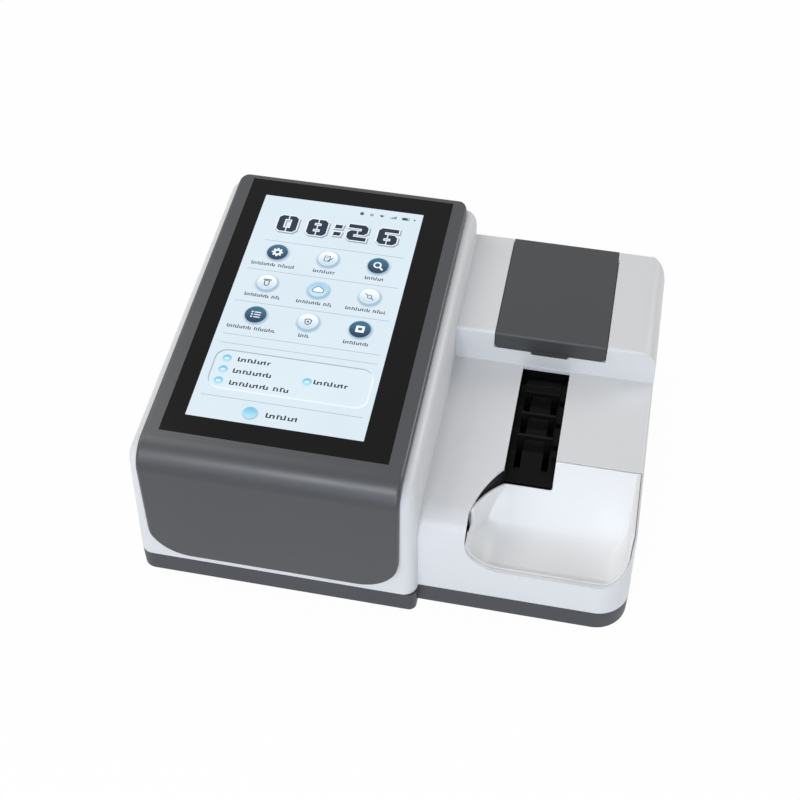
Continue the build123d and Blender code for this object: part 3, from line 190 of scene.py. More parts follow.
def make_group(name, inputs, outputs):
    """Empty shader group with float inputs (name, default) and float outputs."""
    tree = bpy.data.node_groups.new(name, "ShaderNodeTree")
    for label, default in inputs:
        socket = tree.interface.new_socket(label, in_out="INPUT", socket_type="NodeSocketFloat")
        socket.default_value = default
    for label in outputs:
        tree.interface.new_socket(label, in_out="OUTPUT", socket_type="NodeSocketFloat")
    return tree, tree.nodes.new("NodeGroupInput"), tree.nodes.new("NodeGroupOutput")


def moulded_grain():
    """Fine spark-eroded texture of a moulding, with a slow drift of tone over it."""
    if "Moulded grain" in bpy.data.node_groups:
        return bpy.data.node_groups["Moulded grain"]
    inputs = [("Grain", 1600.0), ("Drift", 14.0)]
    tree, start, end = make_group("Moulded grain", inputs, ["Height", "Tone"])
    spot = put(tree, "ShaderNodeTexCoord")
    fine = put(tree, "ShaderNodeTexNoise", Detail=3.0, Roughness=0.6)
    slow = put(tree, "ShaderNodeTexNoise", Detail=2.0, Roughness=0.5)
    tree.links.new(spot.outputs["Object"], fine.inputs["Vector"])
    tree.links.new(spot.outputs["Object"], slow.inputs["Vector"])
    tree.links.new(start.outputs["Grain"], fine.inputs["Scale"])
    tree.links.new(start.outputs["Drift"], slow.inputs["Scale"])
    tree.links.new(fine.outputs["Fac"], end.inputs["Height"])
    tree.links.new(slow.outputs["Fac"], end.inputs["Tone"])
    return tree


def handling_marks():
    """Faint smears and settled dust: a mask that is strong in few places."""
    if "Handling marks" in bpy.data.node_groups:
        return bpy.data.node_groups["Handling marks"]
    tree, start, end = make_group("Handling marks", [("Size", 55.0), ("Cover", 0.35)], ["Mask"])
    spot = put(tree, "ShaderNodeTexCoord")
    highest, fade = 0.85, 0.25
    noise = put(tree, "ShaderNodeTexNoise", Detail=6.0, Roughness=0.7, Distortion=0.8)
    above = put(tree, "ShaderNodeMath", operation="ADD")
    above.inputs[1].default_value = fade
    ramp = put(tree, "ShaderNodeMapRange", clamp=True)
    high = put(tree, "ShaderNodeMath", operation="SUBTRACT")
    high.inputs[0].default_value = highest
    tree.links.new(spot.outputs["Object"], noise.inputs["Vector"])
    tree.links.new(start.outputs["Size"], noise.inputs["Scale"])
    tree.links.new(start.outputs["Cover"], high.inputs[1])
    tree.links.new(high.outputs[0], above.inputs[0])
    tree.links.new(noise.outputs["Fac"], ramp.inputs["Value"])
    tree.links.new(high.outputs[0], ramp.inputs["From Min"])
    tree.links.new(above.outputs[0], ramp.inputs["From Max"])
    tree.links.new(ramp.outputs["Result"], end.inputs["Mask"])
    return tree


def new_material(name, **constants):
    """Material with a Principled shader whose constants sit on its own sockets."""
    material = bpy.data.materials.new(name)
    material.use_nodes = True
    shader = material.node_tree.nodes["Principled BSDF"]
    for key, value in constants.items():
        shader.inputs[key.replace("_", " ")].default_value = value
    return material, material.node_tree, shader


def blended(tree, fac, one, two, target):
    """Feeds a socket with a colour between two, by a mask."""
    blend = put(tree, "ShaderNodeMix", data_type="RGBA")
    blend.inputs[MIX_A].default_value = (*one, 1)
    blend.inputs[MIX_B].default_value = (*two, 1)
    tree.links.new(fac, blend.inputs[0])
    tree.links.new(blend.outputs[MIX_RESULT], target)


def tone_pair(tree, fac, shader, colour, spread, socket="Base Color"):
    """Feeds a colour that drifts a little to both sides of the one asked for."""
    darker = [max(c * (1 - spread), 0) for c in colour]
    lighter = [min(c * (1 + spread), 1) for c in colour]
    blended(tree, fac, darker, lighter, shader.inputs[socket])


def spread_to(tree, fac, low, high, target):
    """Maps a mask to a range of values on a socket."""
    span = put(tree, "ShaderNodeMapRange", clamp=True)
    span.inputs["From Min"].default_value = NOISE_LOW
    span.inputs["From Max"].default_value = NOISE_HIGH
    span.inputs["To Min"].default_value = low
    span.inputs["To Max"].default_value = high
    tree.links.new(fac, span.inputs["Value"])
    tree.links.new(span.outputs["Result"], target)


def bump(tree, height, shader, strength, distance):
    """Turns a height into the shader's normal."""
    node = put(tree, "ShaderNodeBump", Strength=strength, Distance=distance * MM)
    tree.links.new(height, node.inputs["Height"])
    tree.links.new(node.outputs["Normal"], shader.inputs["Normal"])


def moulded_plastic(name, colour, rough, grain, depth, spread, shine=0.4):
    """Injection-moulded plastic: fine grain, slow drift of tone, faint marks in the gloss."""
    material, tree, shader = new_material(name, Specular_IOR_Level=shine)
    group = put(tree, "ShaderNodeGroup", node_tree=moulded_grain(), Grain=grain)
    marks = put(tree, "ShaderNodeGroup", node_tree=handling_marks())
    tone_pair(tree, group.outputs["Tone"], shader, colour, spread)
    mixed = put(tree, "ShaderNodeMath", operation="MULTIPLY_ADD")
    mixed.inputs[1].default_value = MARKS_SHARE
    tree.links.new(marks.outputs["Mask"], mixed.inputs[0])
    tree.links.new(group.outputs["Tone"], mixed.inputs[2])
    spread_to(tree, mixed.outputs[0], rough[0], rough[1], shader.inputs["Roughness"])
    bump(tree, group.outputs["Height"], shader, 0.35, depth)
    return material


def worked_metal(name, colour, rough, stretch=(40.0, 900.0, 900.0), spread=0.08):
    """Drawn or turned metal: fine lines along one direction."""
    material, tree, shader = new_material(name, Metallic=1.0)
    spot = put(tree, "ShaderNodeTexCoord")
    turn = put(tree, "ShaderNodeMapping", Scale=stretch)
    noise = put(tree, "ShaderNodeTexNoise", Scale=1.0, Detail=4.0)
    tree.links.new(spot.outputs["Object"], turn.inputs["Vector"])
    tree.links.new(turn.outputs["Vector"], noise.inputs["Vector"])
    tone_pair(tree, noise.outputs["Fac"], shader, colour, spread)
    spread_to(tree, noise.outputs["Fac"], rough[0], rough[1], shader.inputs["Roughness"])
    bump(tree, noise.outputs["Fac"], shader, 0.2, 0.02)
    return material


def soft_rubber(name, colour):
    """Matt rubber with a dusty bloom."""
    material, tree, shader = new_material(name, Sheen_Weight=0.15, Sheen_Roughness=0.6)
    group = put(tree, "ShaderNodeGroup", node_tree=moulded_grain(), Grain=900.0, Drift=60.0)
    marks = put(tree, "ShaderNodeGroup", node_tree=handling_marks(), Size=220.0, Cover=0.42)
    dusty = [c * 1.6 + 0.01 for c in colour]
    blended(tree, marks.outputs["Mask"], colour, dusty, shader.inputs["Base Color"])
    spread_to(tree, group.outputs["Tone"], 0.62, 0.82, shader.inputs["Roughness"])
    bump(tree, group.outputs["Height"], shader, 0.5, 0.06)
    return material


def circuit_board(name):
    """Green board: darker laminate with lighter tracks under the mask."""
    material, tree, shader = new_material(name, Roughness=0.32)
    spot = put(tree, "ShaderNodeTexCoord")
    tracks = put(tree, "ShaderNodeTexBrick", Scale=210.0, Mortar_Size=0.03, Mortar_Smooth=0.2)
    tracks.inputs["Color1"].default_value = (0.012, 0.090, 0.045, 1)
    tracks.inputs["Color2"].default_value = (0.016, 0.110, 0.055, 1)
    tracks.inputs["Mortar"].default_value = (0.050, 0.220, 0.110, 1)
    tree.links.new(spot.outputs["Object"], tracks.inputs["Vector"])
    tree.links.new(tracks.outputs["Color"], shader.inputs["Base Color"])
    bump(tree, tracks.outputs["Fac"], shader, 0.3, 0.03)
    return material


def roll_paper(name, colour):
    """Paper or card: fine fibres and a slow drift of tone."""
    material, tree, shader = new_material(name)
    group = put(tree, "ShaderNodeGroup", node_tree=moulded_grain(), Grain=2600.0, Drift=90.0)
    tone_pair(tree, group.outputs["Tone"], shader, colour, 0.03)
    spread_to(tree, group.outputs["Tone"], 0.62, 0.72, shader.inputs["Roughness"])
    bump(tree, group.outputs["Height"], shader, 0.3, 0.02)
    return material


def printed_glass(name, colour):
    """Cover glass seen from above: black print under a clear face with a soft sheen."""
    material, tree, shader = new_material(name, IOR=1.5, Specular_IOR_Level=0.12)
    marks = put(tree, "ShaderNodeGroup", node_tree=handling_marks(), Size=18.0, Cover=0.30)
    tone_pair(tree, marks.outputs["Mask"], shader, colour, 0.10)
    spread_to(tree, marks.outputs["Mask"], 0.16, 0.24, shader.inputs["Roughness"])
    return material


def lit_material(name, **constants):
    """Dark glass that gives off light of its own."""
    return new_material(
        name, Base_Color=(0.03, 0.035, 0.04, 1), Specular_IOR_Level=0.12, Emission_Strength=1.0,
        **constants,
    )


def lit_picture(name, colour, spread=0.03):
    """A lit area of the screen in one colour of the picture."""
    material, tree, shader = lit_material(name)
    spot = put(tree, "ShaderNodeTexCoord")
    cells = put(tree, "ShaderNodeTexNoise", Scale=26.0, Detail=1.0)
    tree.links.new(spot.outputs["Object"], cells.inputs["Vector"])
    tone_pair(tree, cells.outputs["Fac"], shader, colour, spread, "Emission Color")
    spread_to(tree, cells.outputs["Fac"], 0.16, 0.24, shader.inputs["Roughness"])
    return material


def shaded_disc(name, one, two, radial=False):
    """A lit round button, shaded by its own UV map: from top to bottom, or from its middle out."""
    material, tree, shader = lit_material(name, Roughness=0.2)
    spot = put(tree, "ShaderNodeTexCoord")
    centred = put(tree, "ShaderNodeMapping", Location=(-1.0, -1.0, 0.0), Scale=(2.0, 2.0, 1.0))
    tree.links.new(spot.outputs["UV"], centred.inputs["Vector"])
    if radial:
        reach = put(tree, "ShaderNodeVectorMath", operation="LENGTH")
        tree.links.new(centred.outputs["Vector"], reach.inputs[0])
        fac, start, end = reach.outputs["Value"], 0.72, 1.0
    else:
        parts = put(tree, "ShaderNodeSeparateXYZ")
        tree.links.new(centred.outputs["Vector"], parts.inputs[0])
        fac, start, end = parts.outputs["Y"], 0.9, -0.9
    ramp = put(tree, "ShaderNodeMapRange", clamp=True, interpolation_type="SMOOTHSTEP")
    ramp.inputs["From Min"].default_value = start
    ramp.inputs["From Max"].default_value = end
    tree.links.new(fac, ramp.inputs["Value"])
    blended(tree, ramp.outputs["Result"], one, two, shader.inputs["Emission Color"])
    return material


def smoked_acrylic(name, colour):
    """Smoked moulded window."""
    material, tree, shader = new_material(
        name, Transmission_Weight=0.7, IOR=1.49, Specular_IOR_Level=0.2,
    )
    marks = put(tree, "ShaderNodeGroup", node_tree=handling_marks(), Size=300.0, Cover=0.3)
    tone_pair(tree, marks.outputs["Mask"], shader, colour, 0.03)
    spread_to(tree, marks.outputs["Mask"], 0.03, 0.10, shader.inputs["Roughness"])
    return material


# Modelling


def nothing_selected():
    """Object mode with no selection, because operators act on all that is selected."""
    if bpy.context.object and bpy.context.object.mode != "OBJECT":
        bpy.ops.object.mode_set(mode="OBJECT")
    bpy.ops.object.select_all(action="DESELECT")


def only(piece):
    """Selects one piece and makes it active."""
    nothing_selected()
    piece.select_set(True)
    bpy.context.view_layer.objects.active = piece


def modify(piece, kind, **settings):
    """Adds a modifier and applies it."""
    only(piece)
    modifier = piece.modifiers.new(kind.title(), kind)
    for key, value in settings.items():
        setattr(modifier, key, value)
    bpy.ops.object.modifier_apply(modifier=modifier.name)


def smooth(piece, angle):
    """Smooth shading that keeps the sharp edges."""
    only(piece)
    bpy.ops.object.shade_smooth_by_angle(angle=radians(angle))


def joined(pieces, name):
    """Makes several pieces one."""
    nothing_selected()
    for piece in pieces:
        piece.select_set(True)
    bpy.context.view_layer.objects.active = pieces[0]
    if len(pieces) > 1:
        bpy.ops.object.join()
    whole = bpy.context.object
    whole.name = name
    return whole


def set_place(piece, matrix):
    """Puts the piece's place into its mesh."""
    only(piece)
    piece.matrix_world = matrix
    bpy.ops.object.transform_apply(location=True, rotation=True, scale=True)


def finished(piece, material, body, stands_for=()):
    """Gives a piece its material, its body and the nodes it replaces."""
    piece.data.materials.clear()
    piece.data.materials.append(material)
    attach(piece, body)
    if stands_for:
        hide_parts(*stands_for)
    return piece


def dressed(node, material):
    """A CAD node whose shape is right keeps it and gets a better material."""
    mesh = frame["nodes"][node].data
    if not mesh.materials:
        mesh.materials.append(material)
    for number in range(len(mesh.materials)):
        mesh.materials[number] = material


def softened(node, name, material, body, softness, angle=SHARP_FROM):
    """A moulding copied from its CAD node, merged, with its sharp edges rounded off."""
    only(frame["nodes"][node])
    bpy.ops.object.duplicate()
    piece = bpy.context.object
    piece.name = name
    piece.data.name = name
    bpy.ops.object.parent_clear(type="CLEAR_KEEP_TRANSFORM")
    bpy.ops.object.transform_apply(location=True, rotation=True, scale=True)
    bpy.ops.object.mode_set(mode="EDIT")
    bpy.ops.mesh.select_all(action="SELECT")
    bpy.ops.mesh.customdata_custom_splitnormals_clear()
    bpy.ops.mesh.remove_doubles(threshold=MERGE_UNDER)
    bpy.ops.mesh.dissolve_limited(angle_limit=FLAT_UNDER)
    bpy.ops.object.mode_set(mode="OBJECT")
    if softness > 0:
        modify(piece, "BEVEL", width=softness, segments=2, limit_method="ANGLE",
               angle_limit=radians(angle), harden_normals=False, use_clamp_overlap=True)
    smooth(piece, angle)
    modify(piece, "WEIGHTED_NORMAL", keep_sharp=True, weight=60)
    return finished(piece, material, body, (node,))


def tipped(piece, spot, away, material):
    """Gives what lies beyond a plane a second material."""
    only(piece)
    bpy.ops.object.mode_set(mode="EDIT")
    bpy.ops.mesh.select_all(action="SELECT")
    bpy.ops.mesh.bisect(plane_co=spot, plane_no=away)
    bpy.ops.object.mode_set(mode="OBJECT")
    piece.data.materials.append(material)
    for face in piece.data.polygons:
        if (face.center - spot).dot(away) > 0:
            face.material_index = 1


def rim_samples(piece):
    """Points along the outward edges of a moulding, such as the rim of its walls."""
    mesh = bmesh.new()
    mesh.from_mesh(piece.data)
    points = []
    for edge in mesh.edges:
        if edge.is_manifold and edge.is_convex and edge.calc_face_angle() > RIM_FROM:
            count = max(int(edge.calc_length() / MM), 1)
            a, b = edge.verts[0].co, edge.verts[1].co
            points += [a.lerp(b, (number + 0.5) / count) for number in range(count)]
    mesh.free()
    tree = kdtree.KDTree(len(points))
    for number, point in enumerate(points):
        tree.insert(point, number)
    tree.balance()
    return tree


def melted(piece, cell, keep, reach):
    """Lets the inner creases of a scooped moulding flow together, while its rim stays."""
    rim = rim_samples(piece)
    modify(piece, "REMESH", mode="VOXEL", voxel_size=cell)
    modify(piece, "SMOOTH", factor=0.5, iterations=SETTLE_STEPS)
    group = piece.vertex_groups.new(name="Hollow")
    for vertex in piece.data.vertices:
        weight = (rim.find(vertex.co)[2] - keep) / reach
        if weight > 0:
            group.add([vertex.index], min(weight, 1.0), "REPLACE")
    modify(piece, "SMOOTH", factor=0.5, iterations=MELT_STEPS, vertex_group="Hollow")
    piece.vertex_groups.clear()
    only(piece)
    bpy.ops.object.shade_smooth()


def flat_curve(name, loops):
    """A flat drawing, in millimetres, filled between its loops and given a thickness."""
    curve = bpy.data.curves.new(name, "CURVE")
    curve.dimensions = "2D"
    curve.fill_mode = "BOTH"
    curve.extrude = FILM * MM / 2
    for loop in loops:
        spline = curve.splines.new("POLY")
        spline.points.add(len(loop) - 1)
        for point, (x, y) in zip(spline.points, loop):
            point.co = (x * MM, y * MM, 0, 1)
        spline.use_cyclic_u = True
    piece = bpy.data.objects.new(name, curve)
    bpy.context.scene.collection.objects.link(piece)
    only(piece)
    bpy.ops.object.convert(target="MESH")
    return bpy.context.object


def box_loop(x0, y0, x1, y1):
    """Loop of a rectangle."""
    return [(x0, y0), (x1, y0), (x1, y1), (x0, y1)]


def rounded(x0, y0, x1, y1, radius, steps=5):
    """Loop of a rectangle with rounded corners."""
    loop = []
    for x, y, start in (
        (x1 - radius, y1 - radius, 0), (x0 + radius, y1 - radius, 90),
        (x0 + radius, y0 + radius, 180), (x1 - radius, y0 + radius, 270),
    ):
        for step in range(steps + 1):
            angle = radians(start + 90 * step / steps)
            loop.append((x + radius * cos(angle), y + radius * sin(angle)))
    return loop


def circle(x, y, radius, steps=28):
    """Loop of a circle."""
    turns = [2 * pi * step / steps for step in range(steps)]
    return [(x + radius * cos(turn), y + radius * sin(turn)) for turn in turns]


def moved(loops, x, y):
    """Loops drawn round the origin, at their place; a loop may be a list with its holes."""
    if isinstance(loops[0], tuple):
        return [(x + px, y + py) for px, py in loops]
    return [moved(loop, x, y) for loop in loops]


def bar(x0, y0, x1, y1, width):
    """Loop of a straight stroke between two points."""
    along = Vector((x1 - x0, y1 - y0)).normalized() * width / 2
    side = Vector((-along.y, along.x))
    a = Vector((x0, y0)) - along
    b = Vector((x1, y1)) + along
    return [tuple(p) for p in (a + side, a - side, b - side, b + side)]


def grown(loop, offset):
    """Loop moved outwards by offset, for the light rim round a digit's stroke."""
    area = sum(a[0] * b[1] - b[0] * a[1] for a, b in zip(loop, loop[1:] + loop[:1]))
    turn = 1 if area > 0 else -1
    outline = []
    for before, here, after in zip(loop[-1:] + loop[:-1], loop, loop[1:] + loop[:1]):
        one = (Vector(here) - Vector(before)).normalized()
        two = (Vector(after) - Vector(here)).normalized()
        normal_one = Vector((one.y, -one.x)) * turn
        normal_two = Vector((two.y, -two.x)) * turn
        middle = (normal_one + normal_two).normalized()
        reach = offset / max(middle.dot(normal_one), 0.5)
        outline.append((here[0] + middle.x * reach, here[1] + middle.y * reach))
    return outline


def drawing(name, loops, level, material, offset=0.0, shift=(0.0, 0.0)):
    """Loops of the screen's picture as one thin piece; a loop may be a list with its holes."""
    made = []
    for loop in loops:
        with_holes = loop if isinstance(loop[0], list) else [loop]
        if offset:
            with_holes = [grown(part, offset) for part in with_holes]
        made.append(flat_curve(name, with_holes))
    piece = joined(made, name)
    set_place(piece, on_screen(level, *shift))
    return finished(piece, material, "housing")


def discs(name, places, radius, level, material, shift=(0.0, 0.0)):
    """Round buttons, each with its own UV square for its shading."""
    made = []
    for x, y in places:
        nothing_selected()
        bpy.ops.mesh.primitive_circle_add(vertices=40, radius=radius, fill_type="NGON", calc_uvs=True)
        piece = bpy.context.object
        bpy.ops.object.mode_set(mode="EDIT")
        bpy.ops.mesh.select_all(action="SELECT")
        bpy.ops.mesh.extrude_region_move(TRANSFORM_OT_translate={"value": (0, 0, DISC_FILM * MM)})
        bpy.ops.object.mode_set(mode="OBJECT")
        set_place(piece, on_screen(level, x + shift[0], y + shift[1]))
        made.append(piece)
    return finished(joined(made, name), material, "housing")


# The picture, in millimetres from the screen's middle and from the housing's front

BUTTON_COLUMNS = (-37.5, -2.4, 32.2)
BUTTON_ROWS = (
    (180.4, ("dark", "pale", "dark")),
    (151.7, ("pale", "blue", "pale")),
    (122.8, ("dark", "pale", "dark")),
)
BUTTON_MARK_WIDTHS = ((30, 15, 13), (24, 24, 27), (32, 7, 17))
BUTTON_MARK_DROP = 11.9
PICTURE = (-59.1, 35.1, 53.4, 233.6)
RULE_ENDS = (-54.2, 49.4)
RULE_HALF = 0.22
RULE_LINES = (162.6, 133.0, 103.7, 96.1, 52.7)
CLOCK_RULE = (-49.0, 190.3, 47.8, 190.75)
CARD = (-53.2, 59.6, 48.9, 90.2)
CARD_CORNER = 7.5
CARD_EDGE = 0.3
CARD_DOT_RADIUS = 3.1
CARD_DOTS = ((-45.8, 83.4), (-45.9, 74.2), (-46.3, 64.9), (8.8, 73.8))
CARD_LINES = ((-38.7, -17.2, 83.9), (-39.3, -13.4, 74.3), (-39.1, 0.3, 64.6), (12.9, 34.9, 74.6))
BUSY_DOT = (-20.1, 43.7)
BUSY_RADIUS = 4.5
BUSY_SHADOW_RADIUS = 5.6
BUSY_LINE = (-10.0, 11.0, 43.6)
CLOCK_DIGITS = (("0", -37.4), ("8", -16.4), ("2", 11.9), ("6", 33.0))
CLOCK_LINE = 208.4
COLON_LINES = (204.9, 211.9)
STATUS_LINE = 227.3


def button_places(kind):
    """Middles of the buttons of one kind."""
    return [(x, y) for y, kinds in BUTTON_ROWS for x, k in zip(BUTTON_COLUMNS, kinds) if k == kind]


def dashes(x0, x1, y, tall, stroke):
    """A row of plain upright dashes, some of them bridged at the top or the foot."""
    foot = y - tall / 2
    thin = stroke * 0.7
    count = max(int((x1 - x0) / (stroke * 2.1)), 1)
    pitch = (x1 - x0) / count
    heights = (1.0, 0.72, 0.72, 0.86, 0.72)
    marks = []
    for number in range(count):
        if number % 15 == 12:
            continue
        height = tall * heights[number % len(heights)]
        left = x0 + number * pitch
        marks.append(box_loop(left, foot, left + stroke, foot + height))
        if number % 3 != 2:
            rise = foot + (height - thin if number % 2 else 0.0)
            marks.append(box_loop(left + stroke, rise, left + pitch, rise + thin))
    return marks


def digit_strokes(x, y, tall, digit):
    """Bold stencil digit with cut corners, split by a narrow gap down its middle."""
    h = tall / 2
    w = h * 0.91
    cut = tall * 0.15
    flat = tall * 0.115
    upright = w - tall * 0.30
    gap = 0.35
    low, high = flat * 2 - h, h - flat * 2
    left = [(-gap, h), (-w + cut, h), (-w, h - cut), (-w, -h + cut), (-w + cut, -h), (-gap, -h)]
    open_side = [(-gap, low), (-upright, low), (-upright, high), (-gap, high)]
    crossbar = [(-upright, -flat), (-gap, -flat), (-gap, flat), (-upright, flat)]
    barred_side = open_side[:2] + crossbar + open_side[2:]
    lower_right = [
        (gap, flat), (w - cut, flat), (w, flat - cut), (w, -h + cut), (w - cut, -h), (gap, -h),
        (gap, low), (upright, low), (upright, -flat), (gap, -flat),
    ]
    hook = [
        (-w, h), (w - cut, h), (w, h - cut), (w, -flat + cut), (w - cut, -flat), (gap, -flat),
        (gap, flat), (upright, flat), (upright, high), (-w, high),
    ]
    loops = {
        "0": [left + open_side, [(-px, py) for px, py in left + open_side]],
        "8": [left + barred_side, [(-px, py) for px, py in left + barred_side]],
        "6": [[(w, h), *left[1:], *barred_side[:-1], (w, high)], lower_right],
        "2": [hook, [(-px, -py) for px, py in hook]],
    }
    return moved(loops[digit], x, y)


# Signs, drawn round the origin


def cog_sign():
    """Ring with eight teeth."""
    cog = []
    for tooth in range(8):
        for reach, turn in ((2.9, -13), (3.9, -9), (3.9, 9), (2.9, 13)):
            angle = radians(tooth * 45 + turn)
            cog.append((reach * cos(angle), reach * sin(angle)))
    return [[cog, circle(0, 0, 1.35, 16)]]


def lens_sign():
    """Bold lens with a handle."""
    return [[circle(-0.5, 0.5, 2.8), circle(-0.5, 0.5, 1.75)], bar(1.6, -1.6, 3.2, -3.2, 1.2)]


def list_sign():
    """Three dots with a line each."""
    loops = []
    for y in (-2.1, 0.0, 2.1):
        loops += [circle(-2.5, y, 0.65, 10), rounded(-1.1, y - 0.4, 3.2, y + 0.4, 0.2, 2)]
    return loops


def block_sign():
    """Square with a square hole."""
    return [[rounded(-2.9, -2.7, 2.9, 2.9, 0.6), rounded(-1.3, -0.9, 1.3, 1.3, 0.2)]]


def cloud_sign(rim=0.0):
    """Overlapping circles, each wider by the rim."""
    puffs = ((-1.9, -0.5, 1.6), (0.0, 0.5, 2.1), (2.0, -0.5, 1.6), (0.0, -0.9, 1.3))
    return [circle(x, y, radius + rim, 20) for x, y, radius in puffs]


def note_sign():
    """Sheet with a line and a pencil."""
    sheet = [rounded(-2.6, -2.4, 1.6, 2.8, 0.4), rounded(-2.1, -1.9, 1.1, 2.3, 0.2)]
    return [sheet, bar(0.6, -1.6, 3.0, 0.8, 0.7), rounded(-1.4, 0.6, 0.4, 1.1, 0.1, 1)]


def cup_sign():
    """Sample cup under its lid."""
    outside = [(-2.0, 1.9), (2.0, 1.9), (1.6, -2.2), (0, -3.1), (-1.6, -2.2)]
    inside = [(-1.3, 1.3), (1.3, 1.3), (1.0, -1.8), (0, -2.4), (-1.0, -1.8)]
    return [bar(-2.4, 2.7, 2.4, 2.7, 0.9), [outside, inside]]


def check_sign():
    """Thin lens with a handle and a stroke beside it."""
    ring = [circle(0.2, 0.1, 1.7), circle(0.2, 0.1, 1.15)]
    return [ring, bar(1.3, -1.0, 2.9, -2.4, 0.6), bar(-2.8, 2.3, -1.6, 1.3, 0.6)]


def shield_sign():
    """Shield with a dot."""
    outside = [(0, 3.0), (2.5, 1.9), (2.1, -1.2), (0, -2.9), (-2.1, -1.2), (-2.5, 1.9)]
    inside = [(0, 2.3), (1.8, 1.4), (1.5, -0.9), (0, -2.1), (-1.5, -0.9), (-1.8, 1.4)]
    return [[outside, inside], circle(0, 0.2, 0.8, 12)]


def status_signs():
    """Row of small signs: a block, a ring, a wedge, four bars, a cell and a dot."""
    loops = [
        rounded(9.9, -1.3, 12.3, 1.3, 0.4, 2), [circle(18.1, 0, 1.2, 12), circle(18.1, 0, 0.6, 10)],
        [(25.2, -1.3), (27.0, 0.9), (23.4, 0.9)],
    ]
    for number in range(4):
        x = 31.2 + number * 1.15
        loops.append(rounded(x, -1.2, x + 0.8, number * 0.6 - 0.5, 0.1, 1))
    loops.append([rounded(39.4, -1.2, 44.6, 1.2, 0.3, 2), rounded(43.3, -0.8, 44.2, 0.8, 0.1, 1)])
    loops.append(rounded(47.8, -0.9, 48.7, 0.9, 0.3, 2))
    return loops


# Operators


class ANALYZER_OT_case(bpy.types.Operator):
    """White housing and dark base: merged mouldings with soft edges"""

    bl_idname = "analyzer.case"
    bl_label = "Housing and base"

    def execute(self, context):
        v = look()
        white = moulded_plastic(
            "Housing white", v.case_colour, rough=(0.30, 0.38), grain=1500.0, depth=0.018, spread=0.012,
        )
        grey = moulded_plastic(
            "Base grey", v.base_colour, rough=(0.42, 0.52), grain=1300.0, depth=0.05, spread=0.06,
        )
        softened("main_housing", "Main_housing", white, "housing", v.edge_softness)
        softened("base_pan", "Base", grey, "housing", v.edge_softness)
        return {"FINISHED"}


class ANALYZER_OT_bezel(bpy.types.Operator):
    """Dark bezel that wraps over the top and down the front, and the cover glass"""

    bl_idname = "analyzer.bezel"
    bl_label = "Bezel and glass"

    def execute(self, context):
        v = look()
        grey = moulded_plastic(
            "Bezel grey", v.bezel_colour, rough=(0.32, 0.40), grain=1400.0, depth=0.03, spread=0.03,
            shine=0.75,
        )
        glass = printed_glass("Printed cover glass", (0.0060, 0.0060, 0.0062))
        softened("bezel_shell", "Bezel", grey, "housing", v.edge_softness)
        softened("touch_glass", "Cover_glass", glass, "housing", 0.25 * MM)
        return {"FINISHED"}


def tray_plastic(name):
    """Smooth white plastic of the tray."""
    return moulded_plastic(
        name, look().tray_colour, rough=(0.26, 0.34), grain=1800.0, depth=0.012, spread=0.01,
    )


class ANALYZER_OT_tray(bpy.types.Operator):
    """Scooped tray for used strips"""

    bl_idname = "analyzer.tray"
    bl_label = "Strip tray"

    def execute(self, context):
        white = tray_plastic("Tray white")
        tray = softened("strip_tray", "Strip_tray", white, "tray", 0.0)
        melted(tray, cell=0.6 * MM, keep=2.0 * MM, reach=4.0 * MM)
        return {"FINISHED"}


class ANALYZER_OT_strip_path(bpy.types.Operator):
    """Black ribbed bed, the walking comb in it and the reader under it"""

    bl_idname = "analyzer.strip_path"
    bl_label = "Strip bed and comb"

    def execute(self, context):
        black = moulded_plastic(
            "Bed black", (0.0042, 0.0042, 0.0044), rough=(0.40, 0.55), grain=1100.0, depth=0.05,
            spread=0.25, shine=0.07,
        )
        comb = moulded_plastic(
            "Comb black", (0.0060, 0.0060, 0.0062), rough=(0.34, 0.46), grain=1500.0, depth=0.03,
            spread=0.20, shine=0.10,
        )
        smoked = smoked_acrylic("Smoked acrylic", (0.045, 0.047, 0.050))
        edge = 0.2 * MM
        bed = softened("strip_bed", "Strip_bed", black, "housing", edge)
        front_end = Vector((0, -1, 0))
        tipped(bed, place(0, APRON_DARK_FROM, 0), front_end, tray_plastic("Apron white"))
        softened("strip_comb", "Strip_comb", comb, "comb", edge)
        softened("reader_window", "Reader_window", smoked, "housing", edge / 2)
        dressed("reader_head", black)
        return {"FINISHED"}


class ANALYZER_OT_printer(bpy.types.Operator):
    """Printer door with its thumb tab, the platen, the paper roll and their frame"""

    bl_idname = "analyzer.printer"
    bl_label = "Printer"

    def execute(self, context):
        grey = moulded_plastic(
            "Door grey", look().door_colour, rough=(0.38, 0.46), grain=1400.0, depth=0.035, spread=0.03,
        )
        black = moulded_plastic(
            "Printer black", (0.014, 0.014, 0.015), rough=(0.36, 0.50), grain=1200.0, depth=0.04,
            spread=0.2,
        )
        softened("printer_door", "Printer_door", grey, "door", 0.7 * MM, angle=24.0)
        softened("printer_frame", "Printer_frame", black, "housing", 0.2 * MM)
        dressed("platen_roller", soft_rubber("Platen rubber", (0.030, 0.030, 0.033)))
        dressed("paper_roll", roll_paper("Thermal paper", (0.80, 0.80, 0.78)))
        dressed("roll_core", roll_paper("Card tube", (0.33, 0.25, 0.17)))
        dressed("print_head", worked_metal("Head plate", (0.62, 0.60, 0.55), rough=(0.30, 0.42)))
        return {"FINISHED"}


